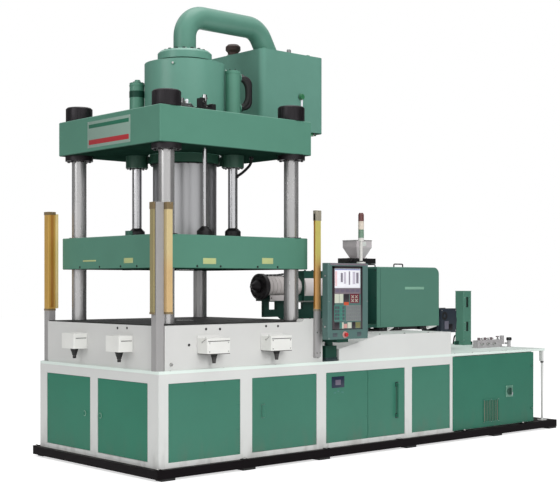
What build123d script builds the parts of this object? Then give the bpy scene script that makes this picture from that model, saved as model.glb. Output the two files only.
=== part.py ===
from build123d import *
import math
import os

# Machine frame while modelling: X along the long front from the left end of the
# base, Y away from the front face, Z up from the floor. Millimetres.

# Fits and sheet
sheet = 3.0
running_clearance = 0.1
seat_clearance = 0.5
button_clearance = 0.3

# Plinth and base
base_length = 3736.0
base_depth = 1914.0
base_top = 905.0
pad_height = 20.0
pad_half_length = 70.0
pad_half_depth = 45.0
plinth_height = 75.0
plinth_overhang = 50.0
plinth_tail = 152.0
plinth_plate = 15.0
plinth_beam = 110.0
deck_thickness = 25.0
frame_depth = 60.0
top_rail = 80.0
bottom_rail = 45.0
mullion_share = 0.6638
mullion_x = round(mullion_share * base_length)
mullion_width = 30.0
frame_bottom = pad_height + plinth_height
frame_top = base_top - deck_thickness
window_bottom = frame_bottom + bottom_rail
window_top = frame_top - top_rail
post_shares = [0.235, 0.4813, 0.8043]
post_widths = [135.0, 121.0, 105.0]
corner_post_width = 100.0
last_post_width = 41.0
inner_posts = [round(share * base_length) for share in post_shares]
post_edges = [(0.0, corner_post_width)]
post_edges += [(x, x + width) for x, width in zip(inner_posts, post_widths)]
post_edges += [(base_length - last_post_width, base_length)]
end_post_share = 0.4817
end_post_width = 119.0
end_post_y = round(end_post_share * base_depth)
end_post_edges = [(frame_depth, frame_depth + 97.0), (end_post_y, end_post_y + end_post_width),
                  (base_depth - frame_depth - 64.0, base_depth - frame_depth)]

# Doors and screwed panels are folded trays
tray_depth = 20.0
door_gap = 3.0
panel_gap = 2.0
recess = 4.0
hinge_inset = 8.0
hinge_setback = 6.0
hinge_pin_radius = 4.0
hinge_pin_reach = 4.0
latch_radius = 19.0
latch_height = 8.0
latch_inset = 37.0
latch_slot = 6.0
pull_x = 110.0
pull_z = 446.0
pull_size = (36.0, 18.0, 108.0)
grip_inset = 126.0
grip_width = 28.0
grip_bar = 16.0
grip_reach = 38.0
grip_foot = 30.0
grip_low = 315.0
grip_high = 652.0

# Electric cabinet and the deck beyond it
cabinet_width = 1389.0
cabinet_right = base_length + cabinet_width
cabinet_wall = 12.0
cabinet_joint = 4.0
cabinet_door_depth = 25.0
cabinet_lug = 6.0
cabinet_pin = 14.0
deck_right = cabinet_right + 217.0
leg_inset = 17.0
leg_radius = 14.0
leg_foot = (90.0, 60.0, 12.0)
leg_bracket = (30.0, 40.0, 118.0)
switch_x = cabinet_right - 440.0
switch_z = 462.0
switch_plate = 130.0
switch_plate_rise = 3.0
switch_radius = 38.0
switch_disc = 12.0
switch_handle = (18.0, 22.0)
switch_shaft = 6.0
switch_gap = 0.3
grille_x0 = cabinet_right - 889.0
grille_x1 = cabinet_right - 624.0
grille_z0 = 150.0
grille_z1 = 397.0
grille_frame = 12.0
grille_rise = 8.0
grille_slats = 9
grille_slat = 10.0

# Press: four columns, lower block, crown and moving platen
press_x = 990.0
press_y = base_depth / 2
column_spacing_x = 1443.0
column_inset_y = 258.0
column_spacing_y = base_depth - 2 * column_inset_y
column_radius = 69.0
block_edge = 30.0
block_right = press_x + column_spacing_x / 2 + 188.5
block_back = base_depth - 88.0
block_height = 376.0
block_top = base_top + block_height
block_wall = 50.0
block_roof = 90.0
block_notch_x = 84.0
block_notch_y = 114.0
corner_rise = 28.0
corner_length = 260.0
corner_slope = 24.0
platen_recess = 32.0
platen_proud = 8.0
platen_margin = 12.0
locating_radius = 62.5
locating_depth = 40.0
bolt_spacing_x = 700.0
bolt_spacing_y = 700.0
bolt_hole_radius = 10.0
bolt_hole_depth = 45.0
mould_space = 478.0
moving_x = column_spacing_x + 257.0
moving_y = column_spacing_y + 182.0
moving_thickness = 293.0
moving_bottom = block_top + platen_proud + mould_space
moving_top = moving_bottom + moving_thickness
stroke_up = 380.0
stroke_down = 30.0
crown_x = column_spacing_x + 303.0
crown_y = column_spacing_y + 233.0
crown_height = 318.0
open_height = 777.0
crown_bottom = moving_top + open_height
crown_top = crown_bottom + crown_height
edge_break = 6.0
nut_radius = 122.5
nut_height = 140.0
nut_chamfer = 10.0
column_top = crown_top + nut_height - 12.0
collar_radius = 130.0
collar_height = 47.0
platen_hole_clearance = 3.0

# Main cylinder and ram
ram_radius = 300.0
cylinder_radius = 378.0
spigot_radius = 345.0
shoulder_z = crown_top + 538.0
cone_top = shoulder_z + 27.0
cylinder_roof = shoulder_z - 43.0
ram_top = cylinder_roof - stroke_up - 20.0
cap_radius = 255.0
cap_top = cone_top + 95.0
cap_break = 22.0
cap_joint_radius = 238.0
cap_joint_height = 10.0
fill_radius = 95.0
gland_radius = 328.0
gland_height = 86.0
pipe_radius = 107.0
pipe_rise = 353.0
pipe_axis_z = cap_top + pipe_rise
pipe_bend = 205.0
pipe_lean = 142.0
pipe_overrun = 1.5
pipe_flange_width = 28.0
pipe_flange_height = 18.0

# Return cylinders on the diagonal
return_offset = 322.0
return_radius = 70.0
return_top = crown_top + 479.0
return_rear_drop = 105.0
return_bore = 56.0
return_cap = 35.0
return_flange_radius = 104.5
return_flange_height = 115.0
return_rod_radius = 45.0
return_piston_height = 60.0
return_piston_gap = 14.0
return_piston_top = return_top - return_rear_drop - return_cap - stroke_up - return_piston_gap
return_rod_top = return_piston_top - return_piston_height
rod_nut_radius = 75.0
rod_nut_height = 95.0

# Stroke rod and what stands on the crown
stroke_x = 700.0
stroke_y = 280.0
stroke_radius = 20.0
stroke_top = crown_top + stroke_down + 117.0
stroke_nut_radius = 70.0
stroke_nut_height = 82.0
guide_length = 160.0
guide_width = 120.0
guide_height = 34.0
limit_switch = (40.0, 70.0, 76.0)
limit_relay = (48.0, 90.0, 32.0)
valve_block_x = 560.0
valve_block_y = 400.0
valve_block_size = (120.0, 90.0, 70.0)
valve_plug_radius = 22.0
valve_plug_height = 48.0
valve_port_radius = 20.0
valve_port_length = 40.0

# Oil tank
tank_length = 830.0
tank_width = 825.0
tank_height = 767.0
tank_offset = 741.0
tank_x0 = press_x + tank_offset
tank_x1 = tank_x0 + tank_length
tank_y0 = press_y - 257.0
tank_y1 = tank_y0 + tank_width
tank_top = crown_top + tank_height
tank_wall = 8.0
tank_corner = 60.0
pipe_inset = 288.0
pipe_drop_x = tank_x0 + pipe_inset
breather_x = tank_x0 + 79.0
breather_y = tank_y0 + 540.0
breather_radius = 75.0
breather_neck = 54.0
breather_height = 118.0

# Bent steel pipe beside the front return cylinder
link_radius = 22.0
link_low_z = crown_top + 137.0
link_high_z = crown_top + 420.0
link_reach = 100.0
link_angle = -20.0
link_bend = 62.0

# Light curtains: (x0, x1, y0, y1) of each bar
curtain_low = base_top + 475.0
curtain_length = 935.0
curtain_high = curtain_low + curtain_length
rear_post = (38.0, 118.0, base_depth - 84.0, base_depth - 4.0)
corner_post = (0.0, 80.0, 30.0, 110.0)
right_post = (1781.0, 1851.0, block_edge - 36.0, block_edge)
side_bar = (-16.0, 0.0, 45.0, 108.0)
front_bar = (80.0, 141.0, -10.0, 50.0)
right_post_foot = base_top + 49.0
post_corner = 6.0

# Connector boxes on the lower block
box_reach = 142.0
left_box_y = [press_y - 542.0, press_y + 177.0]
left_box_width = 210.0
left_box_z = block_top - 229.0
front_box_x = [426.0, 1140.0]
front_box_width = 250.0
front_box_z = block_top - 247.0
connector_height = 137.0
stub_top_radius = 27.0
stub_low_radius = 15.0
stub_length = 80.0

# Injection bed and rails
bed_gap = 195.0
bed_left = block_right + bed_gap
bed_left_top = base_top + 110.0
bed_full_x = bed_left + 552.0
bed_right = base_length - 14.0
bed_top = base_top + 230.0
bed_inset = 8.0
bed_wall = 20.0
rail_spread = 230.0
rail_width = 40.0
rail_height = 25.0
rail_groove = 5.0
rail_groove_low = 8.0
rail_groove_high = 15.0
slide_forward = 250.0
slide_back = 100.0

# Injection unit, which slides along X; its cover is what the rest is set from
cover_overlap = 503.0
cover_length = 995.0
cover_x0 = base_length - cover_overlap
cover_x1 = cover_x0 + cover_length
cover_y0 = press_y - 357.0
cover_y1 = press_y + 357.0
cover_bottom = bed_top + 39.0
cover_top = cover_bottom + 638.0
cover_wall = 5.0
cover_corner = 75.0
cover_edge = 14.0
barrel_hole_clearance = 8.0
unit_axis_z = cover_bottom + 431.0
carriage_plate = 30.0
plate_top = cover_bottom + carriage_plate
shoe_bottom = bed_top + 8.0
shoe_width = 92.0
shoe_x = [(cover_x0 - 243.0, cover_x0 - 133.0), (cover_x0 + 145.0, cover_x0 + 256.0)]
rail_x0 = shoe_x[0][0] - slide_forward - 40.0
rail_x1 = shoe_x[1][1] + slide_back + 123.0
skid_x0 = cover_x0 + 387.0
skid_x1 = cover_x0 + 647.0
skid_y0 = cover_y0 + 20.0
skid_y1 = cover_y0 + 95.0
barrel_radius = 100.0
barrel_reach = 135.0
barrel_inside = 97.0
barrel_x0 = bed_left - barrel_reach
barrel_x1 = cover_x0 + barrel_inside
band_x0 = barrel_x0 + 245.0
band_x1 = band_x0 + 80.0
band_radius = 108.0
disc_radius = 130.0
disc_x0 = barrel_x0 - 60.0
disc_chamfer = 8.0
nozzle_tip_x = disc_x0 - 93.0
nozzle_tip_radius = 18.0
nozzle_base_radius = 62.0
nozzle_land = 20.0
cradle_x0 = barrel_x0
cradle_x1 = cradle_x0 + 710.0
cradle_web = 36.0
cradle_low_z = unit_axis_z - 305.0
cradle_level = 210.0
plate_x0 = cradle_x0 + 360.0
window_low = unit_axis_z - 230.0
window_high = unit_axis_z - 153.0
window_x = [(cradle_x0 + 70.0, cradle_x0 + 170.0), (cradle_x0 + 412.0, cradle_x0 + 532.0)]
saddle_half = 105.0
saddle_top_z = unit_axis_z - 105.0
saddle_low_z = saddle_top_z - 40.0
saddle_lip = 18.0
yoke_x0 = cradle_x0 + 440.0
yoke_half = 130.0
yoke_top = unit_axis_z + 160.0
throat_x1 = cover_x0 - 8.0
throat_x0 = throat_x1 - 185.0
throat_half = 150.0
feeder_z0 = unit_axis_z + 243.0
feeder_z1 = feeder_z0 + 57.0
feeder_x0 = cover_x0 - 147.0
feeder_x1 = feeder_x0 + 419.0
feeder_half = 78.0
feeder_inlet = 42.0
hopper_x = cover_x0 + 67.0
hopper_height = 195.0
hopper_slope = 117.0
hopper_rim_x = 230.0
hopper_rim_y = 210.0
hopper_throat = 110.0
hopper_wall = 5.0
motor_radius = 131.0
motor_length = 330.0
motor_cowl = 50.0
motor_cowl_step = 14.0
motor_fins = 12
motor_fin = (8.0, 8.0)
motor_y = press_y - 212.0
motor_z = cover_bottom + 50.0

# Control panel on its swivel post
swivel_x = block_right + 100.0
swivel_y = 50.0
swivel_pin_radius = 30.0
swivel_boss_radius = 38.0
post_half_x = 72.0
post_half_y = 40.0
post_height = 145.0
arm_thickness = 30.0
arm_width = 150.0
arm_corner = 30.0
panel_x0 = swivel_x - 201.0
panel_x1 = panel_x0 + 529.0
panel_front = swivel_y - 200.0
panel_back = panel_front + 80.0
panel_bottom = base_top + 213.0
panel_top = panel_bottom + 708.0
panel_corner = 8.0
bezel_x0 = panel_x0 + 51.0
bezel_x1 = panel_x1 - 81.0
bezel_z0 = panel_bottom + 89.0
bezel_z1 = panel_top - 29.0
bezel_rise = 3.0
screen_x0 = bezel_x0 + 32.0
screen_x1 = bezel_x1 - 25.0
screen_z0 = bezel_z1 - 203.0
screen_z1 = bezel_z1 - 23.0
screen_depth = 6.0
button_x = panel_x0 + 220.0
button_z = bezel_z0 + 33.0
button_size = 40.0
button_rise = 10.0
button_depth = 15.0
button_hole_depth = 25.0
estop_x = button_x
estop_z = panel_bottom + 42.0
estop_radius = 20.0
estop_stem = 8.0
estop_neck = 14.0
estop_head = 16.0
tower_x = panel_x1 - 56.0
tower_y = panel_front + 40.0
tower_radius = 27.0
tower_foot_radius = 42.0
tower_foot_height = 14.0
tower_pole_radius = 15.0
tower_lens_bottom = panel_top + 242.0
tower_lens_skirt = 30.0
tower_lenses = 3
tower_top = panel_top + 479.0
tower_cap = 16.0
tower_groove = 3.0

# Upright terminal box, manifold and its valves on the deck
terminal_x1 = deck_right - 8.0
terminal_x0 = terminal_x1 - 149.0
terminal_y0 = press_y + 93.0
terminal_y1 = terminal_y0 + 130.0
terminal_top = base_top + 642.0
terminal_base = 40.0
terminal_rim = 12.0
terminal_rim_x = 4.0
terminal_inset = 52.0
terminal_slot = 40.0
terminal_slots = [(base_top + 163.0, base_top + 277.0), (base_top + 447.0, base_top + 570.0)]
manifold_x1 = deck_right - 117.0
manifold_x0 = manifold_x1 - 435.0
manifold_y = press_y - 407.0
manifold_half = 35.0
manifold_height = 85.0
manifold_port = (10.0, 22.0, 45.0)
manifold_port_step = 4.0
elbow_reach = 46.0
elbow_pipe = 22.0
elbow_radius = 24.0
elbow_z = 52.0
elbow_low = 30.0
elbow_high = 128.0
valve_count = 3
valve_pitch = 110.0
valve_stem = 5.0
valve_boss = 14.0
valve_rise = 4.0
valve_depth = 18.0
valve_gap = 0.3
valve_radius = 17.0
valve_height = 26.0
valve_lever = (10.0, 34.0, 8.0)
valve_x = [manifold_x0 + 60.0 + valve_pitch * index for index in range(valve_count)]

# Hydraulic unit in the base, behind the right-hand front door
pump_x = mullion_x + 80.0
pump_y = press_y - 337.0
pump_z = 420.0
pump_motor = (420.0, 150.0)
pump_bell = (80.0, 110.0)
pump_body = (180.0, 85.0)
pump_foot_half = 130.0
pump_foot_inset = 30.0
pump_foot_top = 60.0
pump_box = (160.0, 60.0, 205.0)

# Component plate in the electric cabinet
plate_inset_left = 120.0
plate_inset_right = 60.0
plate_y = press_y - 257.0
plate_length = cabinet_width - plate_inset_left - plate_inset_right
plate_thickness = 6.0
plate_headroom = 70.0
drive_count = 3
drive_size = (170.0, 190.0)
drive_pitch = plate_length / 5
drive_low = 330.0
duct_depth = 60.0
duct_height = 50.0
duct_heights = [60.0, 270.0]
relay_count = 9
relay_size = (72.0, 85.0, 85.0)
relay_pitch = (plate_length - 2 * relay_size[0]) / relay_count
relay_low = 150.0

column_x = [press_x - column_spacing_x / 2, press_x + column_spacing_x / 2]
column_y = [press_y - column_spacing_y / 2, press_y + column_spacing_y / 2]
return_places = [(press_x + return_offset, press_y - return_offset, return_top),
                 (press_x - return_offset, press_y + return_offset, return_top - return_rear_drop)]


def block(x0, x1, y0, y1, z0, z1):
    """A straight block given by its corners."""
    middle = Pos((x0 + x1) / 2, (y0 + y1) / 2, (z0 + z1) / 2)
    return middle * Box(x1 - x0, y1 - y0, z1 - z0)


def upright(x, y, z0, z1, radius):
    """A round bar along Z."""
    return Pos(x, y, (z0 + z1) / 2) * Cylinder(radius, z1 - z0)


def along_x(x0, x1, y, z, radius):
    """A round bar along X."""
    return Pos((x0 + x1) / 2, y, z) * Rot(0, 90, 0) * Cylinder(radius, x1 - x0)


def along_y(x, y0, y1, z, radius):
    """A round bar along Y."""
    return Pos(x, (y0 + y1) / 2, z) * Rot(90, 0, 0) * Cylinder(radius, y1 - y0)


def turned(x, y, outline):
    """A solid turned about a vertical axis from (radius, height) points."""
    face = make_face(Plane.XZ * Polyline(*outline, close=True))
    return Pos(x, y, 0) * revolve(face, Axis.Z)


def drawn_out(outline, y0, y1):
    """A side outline in X and Z drawn out from y0 to y1."""
    return Pos(0, y0, 0) * extrude(make_face(Plane.XZ * outline), y1 - y0, dir=(0, 1, 0))


def vertical_edges_rounded(solid, radius):
    return fillet(solid.edges().filter_by(Axis.Z), radius)


def vertical_edges_broken(solid, width):
    return chamfer(solid.edges().filter_by(Axis.Z), width)


def column_holes(z0, z1, clearance):
    """The four holes that the columns pass through."""
    holes = [upright(x, y, z0, z1, column_radius + clearance) for x in column_x for y in column_y]
    return holes[0] + holes[1:]


def tray(width, height, depth):
    """A folded sheet tray: X and Z from 0, front face at Y = 0, open at the back."""
    body = block(0, width, 0, depth, 0, height)
    return body - block(sheet, width - sheet, sheet, depth, sheet, height - sheet)


def hinged_tray(width, height, depth, hinge_x, latch_x=None):
    """A tray with two pin holes on its hinge side and a round lock."""
    door = tray(width, height, depth)
    door -= upright(hinge_x, hinge_setback, 0, height, hinge_pin_radius + running_clearance)
    if latch_x is not None:
        door += along_y(latch_x, -latch_height, 0, height / 2, latch_radius)
        slot = latch_radius * 0.6
        door -= block(latch_x - slot, latch_x + slot, -latch_height, -latch_height / 2,
                      height / 2 - latch_slot / 2, height / 2 + latch_slot / 2)
    return door


def hinge_pins(x, y):
    """Pins welded to the rails, which a door hangs on."""
    reach = door_gap + sheet + hinge_pin_reach
    lower = upright(x, y, window_bottom, window_bottom + reach, hinge_pin_radius)
    upper = upright(x, y, window_top - reach, window_top, hinge_pin_radius)
    return [lower, upper]


def make_plinth():
    x0 = -plinth_overhang
    x1 = deck_right + plinth_tail
    y0 = -plinth_overhang
    y1 = base_depth + plinth_overhang
    under = frame_bottom - plinth_plate
    body = block(x0, x1, y0, y1, pad_height, frame_bottom)
    spans = [x0 + plinth_beam, post_edges[1][0], post_edges[2][0], post_edges[3][0],
             cabinet_right - plinth_beam, x1]
    for left, right in zip(spans, spans[1:]):
        body -= block(left, right - plinth_beam, y0 + plinth_beam, y1 - plinth_beam, pad_height, under)
    return body


def make_pads():
    xs = [post_edges[0][0] + pad_half_length, (post_edges[1][0] + post_edges[1][1]) / 2,
          (post_edges[2][0] + post_edges[2][1]) / 2, (post_edges[3][0] + post_edges[3][1]) / 2,
          base_length + 700.0, deck_right + plinth_tail - pad_half_length]
    ys = [0.0, base_depth]
    pads = []
    for x in xs:
        for y in ys:
            pads.append(block(x - pad_half_length, x + pad_half_length, y - pad_half_depth,
                              y + pad_half_depth, 0, pad_height))
    return pads


def ladder_frame(y0):
    """A welded front or rear frame: posts with a top and a bottom rail."""
    body = block(0, base_length, y0, y0 + frame_depth, frame_bottom, frame_top)
    for left, right in zip(post_edges, post_edges[1:]):
        body -= block(left[1], right[0], y0, y0 + frame_depth, window_bottom, window_top)
    return body


def make_front_frame():
    body = ladder_frame(0)
    half = mullion_width / 2
    body += block(mullion_x - half, mullion_x + half, frame_depth / 2, frame_depth, window_bottom, window_top)
    for pin in hinge_pins(front_left_hinge[0], front_left_hinge[1]) + hinge_pins(*front_right_hinge):
        body += pin
    return body


def make_end_frame():
    first = end_post_edges[0][0]
    last = end_post_edges[-1][1]
    body = block(0, frame_depth, first, last, frame_bottom, frame_top)
    for near, far in zip(end_post_edges, end_post_edges[1:]):
        body -= block(0, frame_depth, near[1], far[0], window_bottom, window_top)
    for pin in hinge_pins(*end_front_hinge) + hinge_pins(*end_rear_hinge):
        body += pin
    return body


def make_deck():
    """One white top plate over the base and the electric cabinet."""
    return block(0, deck_right, 0, base_depth, frame_top, base_top)


def screwed_panel(x0, x1, y_front, flip=False):
    """A tray that closes a window of the front or rear frame."""
    width = x1 - x0 - 2 * panel_gap
    height = window_top - window_bottom - panel_gap
    panel = tray(width, height, tray_depth)
    if flip:
        return Pos(x1 - panel_gap, y_front, window_bottom) * Rot(0, 0, 180) * panel
    return Pos(x0 + panel_gap, y_front, window_bottom) * panel


def make_cover_panels():
    panels = [screwed_panel(post_edges[0][1], post_edges[1][0], recess),
              screwed_panel(post_edges[2][1], mullion_x, recess),
              screwed_panel(post_edges[3][1], post_edges[4][0], recess)]
    for left, right in zip(post_edges, post_edges[1:]):
        panels.append(screwed_panel(left[1], right[0], base_depth - recess, flip=True))
    return panels


def door_width(x0, x1):
    return x1 - x0 - 2 * door_gap


door_height = window_top - window_bottom - 2 * door_gap
door_z = window_bottom + door_gap
front_left_window = (post_edges[1][1], post_edges[2][0])
front_right_window = (mullion_x, post_edges[3][0])
end_front_window = (end_post_edges[0][1], end_post_edges[1][0])
end_rear_window = (end_post_edges[1][1], end_post_edges[2][0])
hinge_edge = door_gap + hinge_inset
front_left_hinge = (front_left_window[1] - hinge_edge, recess + hinge_setback)
front_right_hinge = (front_right_window[0] + hinge_edge, recess + hinge_setback)
end_front_hinge = (recess + hinge_setback, end_front_window[0] + hinge_edge)
end_rear_hinge = (recess + hinge_setback, end_rear_window[1] - hinge_edge)
cabinet_door_x0 = base_length + cabinet_joint
cabinet_hinge = (cabinet_door_x0 + hinge_inset, hinge_setback)


def make_front_door_left():
    width = door_width(*front_left_window)
    door = hinged_tray(width, door_height, tray_depth, width - hinge_inset)
    pull_width, pull_depth, pull_height = pull_size
    pull_low = pull_z - door_z
    pull = block(pull_x, pull_x + pull_width, -pull_depth, 0, pull_low, pull_low + pull_height)
    door += chamfer(pull.edges().filter_by(Axis.Z).group_by(Axis.Y)[0], pull_depth / 2)
    return Pos(front_left_window[0] + door_gap, recess, door_z) * door


def make_front_door_right():
    width = door_width(*front_right_window)
    door = hinged_tray(width, door_height, tray_depth, hinge_inset)
    x0 = width - grip_inset
    x1 = x0 + grip_width
    low = grip_low - door_z
    high = grip_high - door_z
    inner = grip_bar - grip_reach
    door += block(x0, x1, -grip_reach, inner, low, high)
    door += block(x0, x1, inner, 0, low, low + grip_foot)
    door += block(x0, x1, inner, 0, high - grip_foot, high)
    return Pos(front_right_window[0] + door_gap, recess, door_z) * door


def make_end_door_front():
    width = door_width(*end_front_window)
    door = hinged_tray(width, door_height, tray_depth, width - hinge_inset, latch_inset)
    return Pos(recess, end_front_window[1] - door_gap, door_z) * Rot(0, 0, -90) * door


def make_end_door_rear():
    width = door_width(*end_rear_window)
    door = hinged_tray(width, door_height, tray_depth, hinge_inset, width - 2.5 * latch_inset)
    return Pos(recess, end_rear_window[1] - door_gap, door_z) * Rot(0, 0, -90) * door


def make_cabinet():
    """Open-fronted steel box with a sill and a header that carry the door pins."""
    x0 = cabinet_door_x0 - cabinet_joint / 2
    front = cabinet_door_depth + door_gap
    body = block(x0, cabinet_right, front, base_depth, frame_bottom, frame_top)
    body -= block(x0 + cabinet_wall, cabinet_right - cabinet_wall, front, base_depth - cabinet_wall,
                  frame_bottom + cabinet_wall, frame_top - cabinet_wall)
    lug = 2 * hinge_inset
    low = frame_bottom + cabinet_lug
    high = frame_top - cabinet_lug
    for z0, z1 in [(frame_bottom, low), (high, frame_top)]:
        body += block(cabinet_door_x0, cabinet_door_x0 + lug, 0, front, z0, z1)
    for z0, z1 in [(low, low + cabinet_pin), (high - cabinet_pin, high)]:
        body += upright(cabinet_hinge[0], cabinet_hinge[1], z0, z1, hinge_pin_radius)
    return body


def make_cabinet_door():
    width = cabinet_right - cabinet_door_x0
    height = frame_top - frame_bottom - 2 * (cabinet_lug + door_gap)
    z0 = frame_bottom + cabinet_lug + door_gap
    door = hinged_tray(width, height, cabinet_door_depth, hinge_inset)
    door = Pos(cabinet_door_x0, 0, z0) * door
    half = switch_plate / 2
    door += block(switch_x - half, switch_x + half, -switch_plate_rise, 0, switch_z - half, switch_z + half)
    door -= along_y(switch_x, -switch_plate_rise, sheet, switch_z, switch_shaft + running_clearance)
    return door - grille_opening(0, sheet) + make_grille()


def grille_opening(y0, y1):
    return block(grille_x0 + grille_frame, grille_x1 - grille_frame, y0, y1, grille_z0 + grille_frame,
                 grille_z1 - grille_frame)


def make_grille():
    """Raised frame with upright slats over the cabinet's air inlet."""
    grille = block(grille_x0, grille_x1, -grille_rise, 0, grille_z0, grille_z1)
    grille -= grille_opening(-grille_rise, 0)
    pitch = (grille_x1 - grille_x0 - 2 * grille_frame) / grille_slats
    overlap = grille_frame / 4
    for index in range(1, grille_slats):
        x = grille_x0 + grille_frame + pitch * index
        grille += block(x - grille_slat / 2, x + grille_slat / 2, sheet / 2 - grille_rise, sheet,
                        grille_z0 + grille_frame - overlap, grille_z1 - grille_frame + overlap)
    return grille


def make_main_switch():
    back = -switch_plate_rise - switch_gap
    front = back - switch_disc
    handle_width, handle_depth = switch_handle
    handle_half = switch_radius - 2
    body = along_y(switch_x, front, back, switch_z, switch_radius)
    body += block(switch_x - handle_width / 2, switch_x + handle_width / 2, front - handle_depth, front,
                  switch_z - handle_half, switch_z + handle_half)
    return body + along_y(switch_x, back, 2 * sheet, switch_z, switch_shaft)


def make_support_leg():
    x = deck_right - leg_inset
    y = 2 * leg_radius
    foot_width, foot_depth, foot_height = leg_foot
    bracket_width, bracket_depth, bracket_height = leg_bracket
    foot = frame_bottom + foot_height
    leg = upright(x, y, foot, frame_top, leg_radius)
    leg += block(x - bracket_width, x, y - bracket_depth / 2, y + bracket_depth / 2,
                 frame_top - bracket_height, frame_top)
    return leg + block(x - foot_width / 2, x + foot_width / 2, 0, foot_depth, frame_bottom, foot)


def make_mounting_plate():
    """Component plate in the cabinet with drives, contactors and cable ducts."""
    x0 = base_length + plate_inset_left
    x1 = cabinet_right - plate_inset_right
    low = frame_bottom + cabinet_wall
    high = frame_top - plate_headroom
    plate = block(x0, x1, plate_y, plate_y + plate_thickness, low, high)
    drive_width, drive_depth = drive_size
    for index in range(drive_count):
        left = x0 + drive_width / 3 + index * drive_pitch
        plate += block(left, left + drive_width, plate_y - drive_depth, plate_y, low + drive_low,
                       high - duct_depth)
    for height in duct_heights:
        z = low + height
        plate += block(x0 + duct_height, x1 - duct_height, plate_y - duct_depth, plate_y, z, z + duct_height)
    relay_width, relay_depth, relay_height = relay_size
    for index in range(relay_count):
        left = x0 + relay_width + index * relay_pitch
        z = low + relay_low
        plate += block(left, left + relay_width, plate_y - relay_depth, plate_y, z, z + relay_height)
    return plate


platen_seat = (block_edge + platen_margin, block_right - platen_margin, block_notch_y + platen_margin / 2,
               block_back - platen_margin)


def make_lower_block():
    """White lower frame of the press, hollow from below, with holes for the columns."""
    body = block(block_edge, block_right, block_edge, block_back, base_top, block_top)
    body -= block(block_edge, block_notch_x, block_edge, block_notch_y, base_top, block_top)
    inner_x = column_x[0] + column_radius + block_wall
    outer_x = column_x[1] - column_radius - block_wall
    body -= block(inner_x, outer_x, block_edge + block_wall, block_back - block_wall, base_top,
                  block_top - block_roof)
    body -= block(*platen_seat, block_top - platen_recess, block_top)
    rise = Polyline((block_right - corner_length, block_top),
                    (block_right - corner_length + corner_slope, block_top + corner_rise),
                    (block_right, block_top + corner_rise), (block_right, block_top), close=True)
    body += drawn_out(rise, block_edge, block_notch_y)
    body -= column_holes(base_top, block_top, seat_clearance)
    return body


def mould_holes(z0, z1):
    """Four tapped holes that clamp a mould half."""
    xs = [press_x - bolt_spacing_x / 2, press_x + bolt_spacing_x / 2]
    ys = [press_y - bolt_spacing_y / 2, press_y + bolt_spacing_y / 2]
    return [upright(x, y, z0, z1, bolt_hole_radius) for x in xs for y in ys]


def make_lower_platen():
    z0 = block_top - platen_recess
    z1 = block_top + platen_proud
    body = block(*platen_seat, z0, z1)
    body -= column_holes(z0, z1, platen_hole_clearance)
    body -= mould_holes(z0, z1)
    return body - upright(press_x, press_y, z0, z1, locating_radius)


def make_connector_boxes():
    pieces = []
    for y0 in left_box_y:
        box = block(block_edge - box_reach, block_edge, y0, y0 + left_box_width, left_box_z,
                    left_box_z + connector_height)
        pieces.append((box, block_edge - box_reach / 2, y0 + left_box_width / 2, left_box_z))
    for x0 in front_box_x:
        box = block(x0, x0 + front_box_width, block_edge - box_reach, block_edge, front_box_z,
                    front_box_z + connector_height)
        pieces.append((box, x0 + front_box_width / 2, block_edge - box_reach / 2, front_box_z))
    boxes = []
    for box, x, y, z in pieces:
        box = vertical_edges_broken(box, post_corner)
        cone = turned(x, y, [(0, z), (stub_top_radius, z), (stub_low_radius, z - stub_length),
                             (0, z - stub_length)])
        boxes.append(box + cone)
    return boxes


def make_columns():
    columns = []
    for x in column_x:
        for y in column_y:
            bar = upright(x, y, base_top, column_top, column_radius)
            columns.append(chamfer(bar.edges().group_by(Axis.Z)[-1], edge_break))
    return columns


def ring(x, y, z0, z1, outer, inner):
    return upright(x, y, z0, z1, outer) - upright(x, y, z0, z1, inner)


def make_column_nuts():
    nuts = []
    for x in column_x:
        for y in column_y:
            nut = ring(x, y, crown_top, crown_top + nut_height, nut_radius, column_radius + seat_clearance)
            edges = nut.edges().group_by(Axis.Z)[-1].filter_by(GeomType.CIRCLE)
            nuts.append(chamfer(edges.sort_by(SortBy.RADIUS)[-1], nut_chamfer))
    return nuts


def make_column_collars():
    bore = column_radius + seat_clearance
    return [ring(x, y, crown_bottom - collar_height, crown_bottom, collar_radius, bore)
            for x in column_x for y in column_y]


def make_crown():
    body = block(press_x - crown_x / 2, press_x + crown_x / 2, press_y - crown_y / 2, press_y + crown_y / 2,
                 crown_bottom, crown_top)
    body = chamfer(body.edges(), edge_break)
    body -= column_holes(crown_bottom, crown_top, seat_clearance)
    body -= upright(press_x, press_y, crown_bottom, crown_top, spigot_radius + seat_clearance)
    for x, y, top in return_places:
        body -= upright(x, y, crown_bottom, crown_top, return_radius + seat_clearance)
    body -= upright(stroke_x, stroke_y, crown_bottom, crown_top, stroke_radius + seat_clearance)
    return body


def make_main_cylinder():
    bore = ram_radius + running_clearance
    outline = [(bore, crown_bottom), (spigot_radius, crown_bottom), (spigot_radius, crown_top),
               (cylinder_radius, crown_top), (cylinder_radius, shoulder_z), (cap_radius, cone_top),
               (fill_radius, cone_top), (fill_radius, cylinder_roof), (bore, cylinder_roof)]
    return turned(press_x, press_y, outline)


def make_cylinder_cap():
    joint_top = cone_top + cap_joint_height
    outline = [(fill_radius, cone_top), (cap_joint_radius, cone_top), (cap_joint_radius, joint_top),
               (cap_radius, joint_top), (cap_radius, cap_top - cap_break), (cap_radius - cap_break, cap_top),
               (fill_radius, cap_top)]
    return turned(press_x, press_y, outline)


def make_ram_gland():
    z0 = crown_bottom - gland_height
    bore = ram_radius + running_clearance
    outline = [(bore, z0), (gland_radius - edge_break, z0), (gland_radius, z0 + edge_break),
               (gland_radius, crown_bottom), (bore, crown_bottom)]
    return turned(press_x, press_y, outline)


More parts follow.
